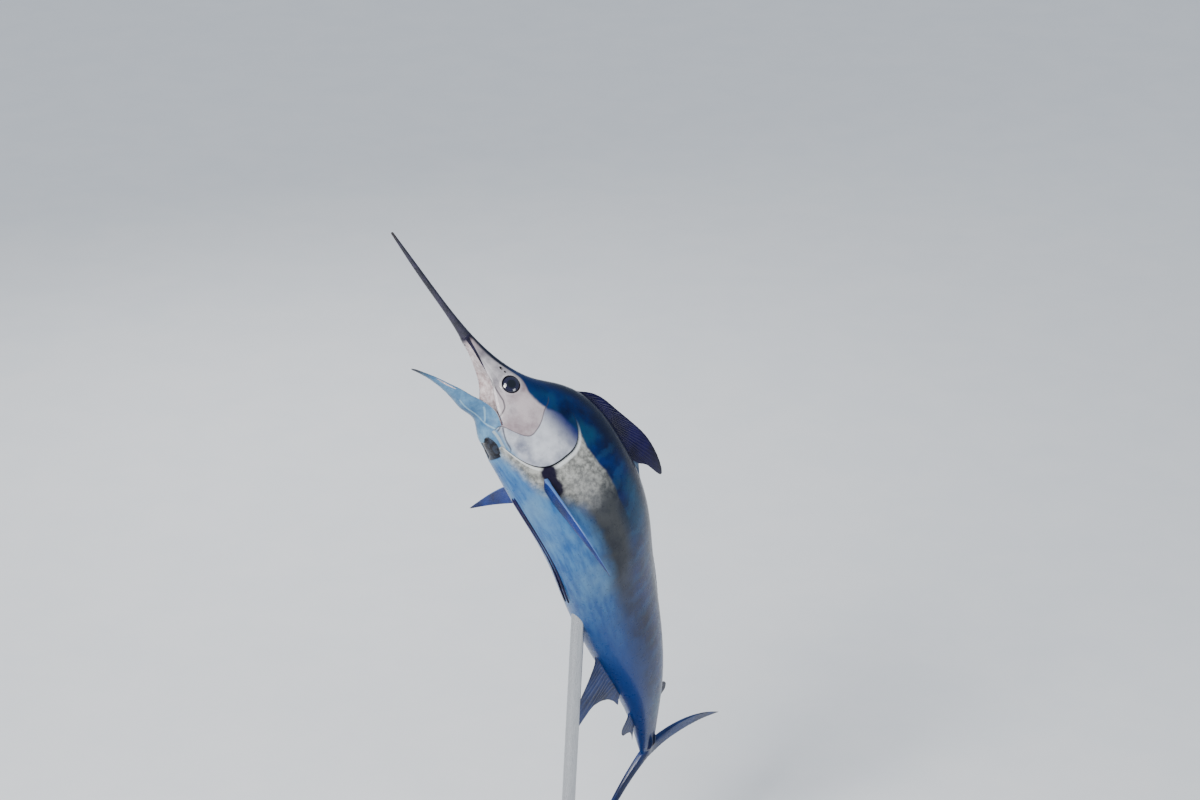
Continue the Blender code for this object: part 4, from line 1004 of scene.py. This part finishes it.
wetGloss = {"Coat_Weight": 0.30, "Coat_IOR": 1.33, "Specular_IOR_Level": 0.24}
skinGrain = {  # each noise as scale, detail and roughness
    "cloud": (7.0, 5.0, 0.6), "broad": (2.6, 4.0, 0.55), "fine": (42.0, 5.0, 0.65), "streaks": (3.0, 5.0, 0.6),
    "streakStretch": (3.2, 11.0, 1), "scaleStretch": (60.0, 150.0, 1), "freckleStretch": (1.0, 1.4, 1),
    "speckStretch": (1.0, 1.6, 1), "freckles": 42.0, "specks": 62.0, "gillSpots": 120.0, "wobble": 0.10,
    "bars": 158.0, "barSlant": 0.008, "scaleRelief": (0.0005, 0.30), "seamRelief": (0.0012, 0.6),
    "foldRelief": (0.0012, 0.25),
}
skinTones = {
    "cheekDark": (98, 92, 100), "cheekLight": (188, 183, 185), "blush": (160, 134, 136),
    "coverDark": (106, 110, 126), "coverLight": (192, 194, 200), "coverBlue": (20, 32, 88),
    "jawDark": (52, 94, 132), "jawLight": (106, 146, 174), "jawShade": (40, 76, 112),
    "freckle": (62, 58, 70), "creamDark": (100, 100, 96), "creamLight": (166, 165, 158),
    "bronzeDark": (14, 22, 36), "bronzeLight": (58, 60, 62), "slateDark": (4, 22, 62),
    "slateLight": (20, 52, 102), "bellyDark": (28, 78, 134), "bellyLight": (66, 114, 158),
    "bellyPale": (104, 142, 170), "bellyRear": (14, 54, 116), "speck": (26, 28, 36),
    # the dark and light gill tones below are painted shade in the open gill cavity
    "cavityShadeDark": (14, 12, 20), "cavityShadeLight": (38, 46, 60), "gillSpot": (150, 160, 170),
    "blueDark": (1, 10, 46), "blueLight": (3, 34, 90), "teal": (6, 58, 88), "nape": (3, 30, 78),
    "crown": (4, 9, 34), "ridge": (2, 10, 40), "bar": (44, 110, 150), "jawTip": (40, 44, 56),
    "fleshDark": (168, 150, 150), "fleshLight": (216, 206, 206), "fleshStreak": (112, 94, 92),
    # the gullet tone below is the gullet's red darkened with painted shade
    "gulletShade": (70, 34, 36), "seam": (40, 34, 44), "jawSeam": (132, 164, 182), "cheekSeam": (52, 50, 60),
    "throatEdge": (176, 180, 176), "paleRim": (214, 216, 214), "darkEdge": (16, 17, 24),
    # the nostril and axil tones below are painted shade
    "eyeRing": (196, 188, 190), "eyeRim": (22, 19, 30), "nostril": (18, 14, 18), "axilShadow": (18, 12, 34),
}


def skinLook():
    # tones mixed by noise, by places on the body and by distances past its marked lines
    look = Look("marlin skin")
    tones = palette(skinTones)
    place = look.place()
    surface = look.surface()
    cloud = look.noise(place, *skinGrain["cloud"])
    broad = look.noise(place, *skinGrain["broad"])
    fine = look.noise(place, *skinGrain["fine"])
    streaks = look.noise(look.surface(skinGrain["streakStretch"]), *skinGrain["streaks"])
    along, side = look.value("along"), look.value("side")
    cover = look.value("gillPast")
    wobble = look.times(look.less(cloud, 0.5), skinGrain["wobble"])
    behindGill = look.rise(cover, -0.001, 0.004)

    def wavy(value, share):
        # the value shifted by a share of the wobble, so that no edge runs straight
        return look.plus(value, look.times(wobble, share))

    # silver head: pinkish on the cheek, bluer on the cover, greener below
    cheek = look.mottle(cloud, 0.34, 0.66, tones["cheekDark"], tones["cheekLight"])
    cheek = look.layer(cheek, broad, 0.46, 0.60, tones["blush"], 0.4)
    plate = look.mottle(cloud, 0.30, 0.64, tones["coverDark"], tones["coverLight"])
    plate = look.layer(plate, wavy(side, 4.0), -0.06, 0.34, tones["coverBlue"])
    head = look.mix(look.rise(look.value("cheekPast"), -0.004, 0.006), cheek, plate)
    jawTone = look.mottle(cloud, 0.32, 0.68, tones["jawDark"], tones["jawLight"])
    jawTone = look.layer(jawTone, fine, 0.40, 0.62, tones["jawShade"], 0.35)
    head = look.mix(look.rise(side, -0.70, -0.92), head, jawTone)
    freckles = look.spots(look.surface(skinGrain["freckleStretch"]), skinGrain["freckles"])
    freckles = look.rise(freckles, 0.085, 0.045)
    head = look.mix(look.times(freckles, look.rise(fine, 0.50, 0.60)), head, tones["freckle"])

    # behind the gills: cream, then bronze grey, then dark slate towards the tail
    cream = look.mottle(fine, 0.36, 0.68, tones["creamDark"], tones["creamLight"])
    bronze = look.mottle(cloud, 0.32, 0.68, tones["bronzeDark"], tones["bronzeLight"])
    slate = look.mottle(cloud, 0.32, 0.68, tones["slateDark"], tones["slateLight"])
    trail = wavy(along, 0.6)
    flankTone = look.mix(look.rise(trail, 0.272, 0.350), cream, bronze)
    flankTone = look.mix(look.rise(trail, 0.40, 0.62), flankTone, slate)
    bellyTone = look.mottle(streaks, 0.34, 0.68, tones["bellyDark"], tones["bellyLight"])
    bellyTone = look.layer(bellyTone, broad, 0.46, 0.64, tones["bellyPale"], 0.6)
    bellyTone = look.layer(bellyTone, trail, 0.36, 0.70, tones["bellyRear"])
    below = look.rise(look.plus(look.value("overBelly"), wobble), 0.045, -0.050)
    flankTone = look.mix(below, flankTone, bellyTone)
    tone = look.mix(behindGill, head, flankTone)

    # dark speckles, thicker towards the tail, and painted shade in the open gill cavity under the throat,
    # speckled
    specks = look.spots(look.surface(skinGrain["speckStretch"]), skinGrain["specks"])
    specks = look.rise(specks, 0.24, 0.10)
    much = look.times(look.rise(trail, 0.26, 0.50, 0.15, 0.85), look.rise(fine, 0.44, 0.58))
    tone = look.mix(look.times(specks, much), tone, tones["speck"])
    # painted shade: the open gill cavity, near black and mottled, with pale specks
    cavityShade = look.mottle(fine, 0.42, 0.60, tones["cavityShadeDark"], tones["cavityShadeLight"])
    gillSpots = look.spots(surface, skinGrain["gillSpots"])
    cavityShade = look.layer(cavityShade, gillSpots, 0.16, 0.08, tones["gillSpot"], 0.6)
    hollow = wavy(look.value("hollow"), 2.0)
    tone = look.mix(look.rise(hollow, 0.10, 0.45), tone, cavityShade)

    # deep blue back with teal in it
    blue = look.mottle(cloud, 0.32, 0.68, tones["blueDark"], tones["blueLight"])
    blue = look.layer(blue, broad, 0.50, 0.66, tones["teal"])
    blue = look.layer(blue, along, 0.175, 0.10, tones["nape"])
    blue = look.layer(blue, along, 0.105, 0.080, tones["crown"])
    blue = look.layer(blue, look.value("overBack"), 0.09, 0.20, tones["ridge"])
    slant = look.plus(trail, look.times(side, skinGrain["barSlant"]))
    bars = look.sums("SINE", look.times(slant, skinGrain["bars"]))
    bars = look.times(look.rise(bars, 0.20, 0.98, 0.0, 0.13), look.rise(side, 0.95, 0.55))
    bars = look.times(bars, look.rise(along, 0.24, 0.30))
    blue = look.mix(look.times(bars, look.rise(along, 0.90, 0.78)), blue, tones["bar"])
    softness = wavy(look.value("overBack"), 0.35)
    crisp = look.rise(softness, -0.004, 0.012)
    soft = look.rise(softness, -0.060, 0.035)
    wide = look.rise(along, 0.33, 0.42)
    backShare = look.plus(look.times(crisp, look.less(1.0, wide)), look.times(soft, wide))
    tone = look.mix(backShare, tone, blue)

    # horn creeping onto the snout and along the lip, the lower jaw, the mouth's inside
    horn = hornTone(look, place)[0]
    snout = look.rise(wavy(look.value("snoutPast"), 0.15), 0.022, -0.006)
    tone = look.mix(look.times(snout, look.less(1.0, look.value("jaw"))), tone, horn)
    jawSkin = look.layer(jawTone, along, 0.030, -0.002, tones["jawTip"])
    tone = look.mix(look.value("jaw"), tone, jawSkin)
    flesh = look.mottle(fine, 0.35, 0.68, tones["fleshDark"], tones["fleshLight"])
    flesh = look.layer(flesh, streaks, 0.58, 0.66, tones["fleshStreak"], 0.7)
    flesh = look.mix(look.rise(along, 0.026, 0.012), flesh, horn)
    # the gullet's red flesh, darkened with painted shade deep in the mouth towards the throat
    flesh = look.layer(flesh, along, 0.128, 0.152, tones["gulletShade"])
    tone = look.mix(look.value("inside"), tone, flesh)

    # fine dark lines of the head, the cover's dark edge with its pale rim
    seamGap = look.value("seam")
    seamTone = look.mix(look.value("jaw"), tones["seam"], tones["jawSeam"])
    tone = look.mix(look.rise(seamGap, 0.0055, 0.0015, 0.0, 0.72), tone, seamTone)
    cheekGap = look.sums("ABSOLUTE", look.value("cheekPast"))
    upTo = look.times(look.rise(side, 0.50, 0.36), look.rise(side, -0.98, -0.88))
    cheekSeam = look.times(look.rise(cheekGap, 0.0042, 0.0012, 0.0, 0.65), upTo)
    tone = look.mix(cheekSeam, tone, tones["cheekSeam"])
    tone = look.layer(tone, look.value("throat"), 0.009, 0.003, tones["throatEdge"], 0.55)
    rimmed = look.times(look.rise(side, 0.56, 0.44), look.rise(side, -1.0, -0.90))
    paleRim = look.rise(look.sums("ABSOLUTE", look.less(cover, 0.016)), 0.014, 0.004, 0.0, 0.75)
    paleRim = look.times(paleRim, look.rise(side, 0.50, 0.20))
    tone = look.mix(look.times(paleRim, rimmed), tone, tones["paleRim"])
    edge = look.rise(look.sums("ABSOLUTE", look.less(cover, 0.0025)), 0.0060, 0.0020, 0.0, 0.95)
    tone = look.mix(look.times(edge, rimmed), tone, tones["darkEdge"])

    # round the eye and nostrils, with painted shade in the nostrils, and a painted shadow over the pectoral's
    # root
    tone = look.layer(tone, look.value("eyeGap"), 0.052, 0.046, tones["eyeRing"], 0.25)
    tone = look.layer(tone, look.value("eyeGap"), 0.0425, 0.0395, tones["eyeRim"])
    # painted shade inside the nostrils' pits
    tone = look.layer(tone, look.value("nostril"), 1.7, 1.1, tones["nostril"])
    # painted shadow behind the pectoral's root, aft of the gill cover only
    axilShadow = look.rise(look.plus(look.value("axilShadow"), wobble), 0.042, 0.018)
    tone = look.mix(look.times(axilShadow, behindGill), tone, tones["axilShadow"])

    # fine scales, grooves along the seams and small folds, one bump on top of the other
    scale = look.spots(look.surface(skinGrain["scaleStretch"]), 1.0, "DISTANCE_TO_EDGE")
    scales = look.bumps(look.rise(scale, 0.0, 0.22), *skinGrain["scaleRelief"])
    cheekGroove = look.sums("MAXIMUM", look.rise(cheekGap, 0.0, 0.006), look.less(1.0, upTo))
    lines = look.sums("MINIMUM", look.rise(seamGap, 0.0, 0.006), cheekGroove)
    grooves = look.bumps(lines, *skinGrain["seamRelief"], scales)
    folds = look.bumps(fine, *skinGrain["foldRelief"], grooves)
    rough = look.rise(fine, 0.3, 0.75, 0.26, 0.40)
    return look.shade(Base_Color=tone, Roughness=rough, Normal=folds, Coat_Roughness=0.07, **wetGloss)


billTones = {"tip": (34, 26, 28)}


def billLook():
    # horn, browner towards the tip
    look = Look("rough bill")
    tones = palette(billTones)
    tone, grains, cloud = hornTone(look, look.place())
    tone = look.layer(tone, look.value("along"), -0.165, -0.190, tones["tip"])
    return look.shade(Base_Color=tone, Roughness=look.rise(cloud, 0.3, 0.7, 0.38, 0.55),
                      Normal=look.bumps(grains, 0.0007, 0.6), Coat_Weight=0.25, Coat_Roughness=0.18)


eyeTones = {"irisDark": (10, 9, 30), "irisLight": (34, 28, 58), "outer": (8, 7, 20), "pupil": (3, 3, 12)}


def eyeLook():
    # dark pupil, iris and rim by the distance from the middle, with cloudy fibres in the iris
    look = Look("wet eye")
    tones = palette(eyeTones)
    source = look.add("ShaderNodeUVMap", uv_map="SurfaceMap").outputs[0]
    away = look.add("ShaderNodeVectorMath", {0: source}, operation="LENGTH").outputs[1]
    fibres = look.noise(source, 9.0, 4.0, 0.6, 0.4)
    iris = look.mottle(fibres, 0.35, 0.68, tones["irisDark"], tones["irisLight"])
    iris = look.layer(iris, away, 0.72, 0.92, tones["outer"])
    tone = look.layer(iris, away, 0.50, 0.40, tones["pupil"])
    return look.shade(Base_Color=tone, Roughness=0.10, Coat_Weight=1.0, Coat_Roughness=0.02,
                      Specular_IOR_Level=0.6)


finTones = {
    "dark fin": {"dark": (4, 1, 30), "light": (16, 8, 62), "edge": (4, 2, 18), "sheen": (26, 18, 82)},
    "pale low fin": {"dark": (48, 66, 92), "light": (104, 124, 146), "edge": (40, 52, 72),
                     "sheen": (140, 156, 172)},
    "blue fin": {"dark": (8, 20, 58), "light": (22, 48, 104), "edge": (10, 18, 44), "sheen": (44, 76, 134)},
    # pectoral fin tones: its front is a painted highlight along the leading edge
    "pectoral fin": {"dark": (3, 14, 62), "light": (8, 40, 112), "edge": (3, 10, 40), "sheen": (18, 54, 124),
                     "front": (88, 122, 176)},
}


def finLook(name, dark, light, edge, sheen, front=None):
    # membrane between rays, both mottled; a painted sheen on the rays, a darker trailing edge, a painted
    # highlight along the leading edge
    look = Look(name)
    place = look.place()
    cloud = look.noise(place, 9.0, 5.0, 0.6)
    fine = look.noise(look.surface((26.0, 4.0, 1)), 2.0, 4.0, 0.6)
    tone = look.mottle(cloud, 0.34, 0.68, dark, light)
    # painted sheen along the ray ridges
    tone = look.mix(look.times(look.value("ray"), 0.24), tone, sheen)
    tone = look.layer(tone, look.value("out"), 0.86, 1.0, edge, 0.6)
    # painted highlight along the leading edge
    if front:
        across = look.plus(look.value("across"), look.times(cloud, 0.06))
        tone = look.layer(tone, across, 0.11, 0.04, front, 0.75)
    normal = look.bumps(look.times(fine, look.rise(look.value("out"), 0.95, 0.55)), 0.0005, 0.4)
    return look.shade(Base_Color=tone, Roughness=look.rise(fine, 0.3, 0.7, 0.24, 0.40), Normal=normal,
                      Coat_Roughness=0.08, **wetGloss)


woodTones = {"dark": (48, 27, 16), "light": (98, 60, 36), "pore": (28, 15, 9)}


def woodLook():
    # long grain: noise stretched along the board, with fine dark pores
    look = Look("dark polished wood")
    tones = palette(woodTones)
    grain = look.noise(look.place((1.2, 16.0, 16.0)), 4.0, 6.0, 0.6, 0.6)
    pores = look.noise(look.place((6.0, 220.0, 220.0)), 1.0, 3.0, 0.6)
    tone = look.mottle(grain, 0.36, 0.66, tones["dark"], tones["light"])
    tone = look.mix(look.times(look.rise(pores, 0.56, 0.70), 0.6), tone, tones["pore"])
    return look.shade(Base_Color=tone, Roughness=look.rise(grain, 0.3, 0.7, 0.26, 0.38),
                      Normal=look.bumps(pores, 0.0003, 0.4), Coat_Weight=0.2, Coat_Roughness=0.2)


steelTones = {"dark": (168, 170, 173), "light": (190, 191, 193)}


def steelLook():
    # fine upright brush marks
    look = Look("brushed steel")
    tones = palette(steelTones)
    brushed = look.noise(look.place((600.0, 600.0, 6.0)), 1.0, 3.0, 0.6)
    tone = look.mottle(brushed, 0.3, 0.7, tones["dark"], tones["light"])
    return look.shade(Base_Color=tone, Metallic=1.0, Roughness=look.rise(brushed, 0.3, 0.7, 0.22, 0.30),
                      Normal=look.bumps(brushed, 0.00003, 0.2))


floorTones = {"dark": (224, 225, 226), "light": (228, 228, 228)}


def floorLook():
    # nearly white, a little cloudy
    look = Look("pale studio floor")
    tones = palette(floorTones)
    cloud = look.noise(look.place(), 2.5, 5.0, 0.6)
    tone = look.mottle(cloud, 0.3, 0.7, tones["dark"], tones["light"])
    return look.shade(Base_Color=tone, Roughness=0.75)


skinFinish = skinLook()
skin = skinPiece()
finish(skin, skinFinish, "skin", "head", "lower_jaw", "gill_cover_left", "gill_cover_right", "trunk_front",
       "trunk_mid", "trunk_rear", "tail_stalk")
print("stage: skin,", len(skin.data.polygons), "faces")

eyeFinish = eyeLook()
for name, side in (("left", 1), ("right", -1)):
    rim = eyeRim("eye_rim_" + name, side)
    finish(rim, skinFinish, "skin")
    finish(eyeBall("eyeball_" + name, side), eyeFinish, "eye_black", "eye_" + name)
finish(billShape(), billLook(), "bill_horn", "bill")
print("stage: eyes and bill")

darkFin, lowFin, blueFin, sideFin = (finLook(name, **palette(tones)) for name, tones in finTones.items())
for name, look, slot, node in (("dorsal_lobe", darkFin, "fin_dark", "dorsal_fin_lobe"),
                               ("dorsal_low", lowFin, "fin_dark", "dorsal_fin_low"),
                               ("dorsal_second", darkFin, "fin_dark", "dorsal_fin_second"),
                               ("anal_second", blueFin, "fin_blue", "anal_fin_second"),
                               ("anal_first", blueFin, "fin_blue", "anal_fin_first")):
    finish(midlineFin(name), look, slot, node)
for name, up in (("upper", 1), ("lower", -1)):
    finish(tailLobe("tail_" + name, up), blueFin, "fin_blue", "tail_fin_" + name)
for name, side in (("left", 1), ("right", -1)):
    finish(pectoralFin("pectoral_" + name, side, pectoral[name]), sideFin, "fin_blue", "pectoral_fin_" + name)
    finish(pelvicFin("pelvic_" + name, side), darkFin, "fin_dark", "pelvic_fin_" + name)
print("stage: fins")

woodFinish, steelFinish = woodLook(), steelLook()
base = lathe("stand_disc", roundedProfile(stand["baseRadius"], 0.0, stand["baseHeight"], stand["edge"]),
             stand["baseMiddle"], 160)
finish(base, woodFinish, "stand_wood", "stand_base")
plate = lathe("stand_collar", roundedProfile(stand["flangeRadius"], stand["baseHeight"] + 0.0003,
                                             stand["baseHeight"] + stand["flangeHeight"], 0.003),
              stand["rodFoot"], 96)
finish(plate, steelFinish, "stand_steel", "stand_flange")
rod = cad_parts["stand_rod"]
rod.data.materials.clear()
rod.data.materials.append(steelFinish)
print("stage: stand")


lights = {
    "aim": (0.0, -0.1, 1.9),
    "panels": (("key", (-3.8, -5.0, 6.8), (2.6, 2.6), 620, (1.0, 0.98, 0.95)),
               ("fill", (6.0, -5.0, 3.6), (3.0, 3.0), 160, (0.94, 0.97, 1.0)),
               ("rear", (-2.5, 6.5, 5.5), (3.0, 2.5), 260, (1.0, 1.0, 1.0))),
    "even": (2.1, 28, (32, -24, 0)),
    "sky": ((0.56, 0.72, 0.95, 1), 0.42),
}


def panel(name, place, size, power, tint):
    # a soft rectangular lamp facing the aim: its turn follows the line from place to aim
    lamp = bpy.data.lights.new(name, "AREA")
    lamp.shape = "RECTANGLE"
    lamp.size, lamp.size_y = size
    lamp.energy = power
    lamp.color = tint
    made = bpy.data.objects.new(name, lamp)
    made.location = place
    made.rotation_euler = (Vector(lights["aim"]) - Vector(place)).to_track_quat("-Z", "Y").to_euler()
    bpy.context.scene.collection.objects.link(made)


def evenLight():
    # a sun softened by its angle's width, and the same pale sky all round
    power, breadth, turn = lights["even"]
    lamp = bpy.data.lights.new("even light", "SUN")
    lamp.energy = power
    lamp.angle = math.radians(breadth)
    made = bpy.data.objects.new("even light", lamp)
    made.rotation_euler = [math.radians(angle) for angle in turn]
    bpy.context.scene.collection.objects.link(made)
    world = bpy.data.worlds.new("soft light")
    world.use_nodes = True
    sky = world.node_tree.nodes["Background"]
    sky.inputs["Color"].default_value, sky.inputs["Strength"].default_value = lights["sky"]
    bpy.context.scene.world = world


def floorMesh():
    # round floor: rings whose radius grows with the cube of the way out
    turn = np.linspace(0, 2 * np.pi, 96, endpoint=False)[None, :]
    radius = 0.01 + 400 * np.linspace(0, 1, 24)[:, None] ** 3
    points = np.stack([radius * np.cos(turn), radius * np.sin(turn), 0 * radius * turn], -1)
    return newMesh("floor", points, gridFaces(24, 96, 0, True).tolist() + [list(range(96))])


floor = floorMesh()
floor.data.materials.append(floorLook())

for values in lights["panels"]:
    panel(*values)
evenLight()

view = {"from": (0.1199, -11.0276, 7.6973), "turn": (65.0, 0.0, 0.0), "lens": 84.096}
shot = bpy.data.cameras.new("photo view")
shot.lens = view["lens"]
shot.sensor_width = 36.0
camera = bpy.data.objects.new("photo view", shot)
camera.location = view["from"]
camera.rotation_euler = [math.radians(angle) for angle in view["turn"]]
bpy.context.scene.collection.objects.link(camera)
bpy.context.scene.camera = camera
print("stage: floor, light and camera")
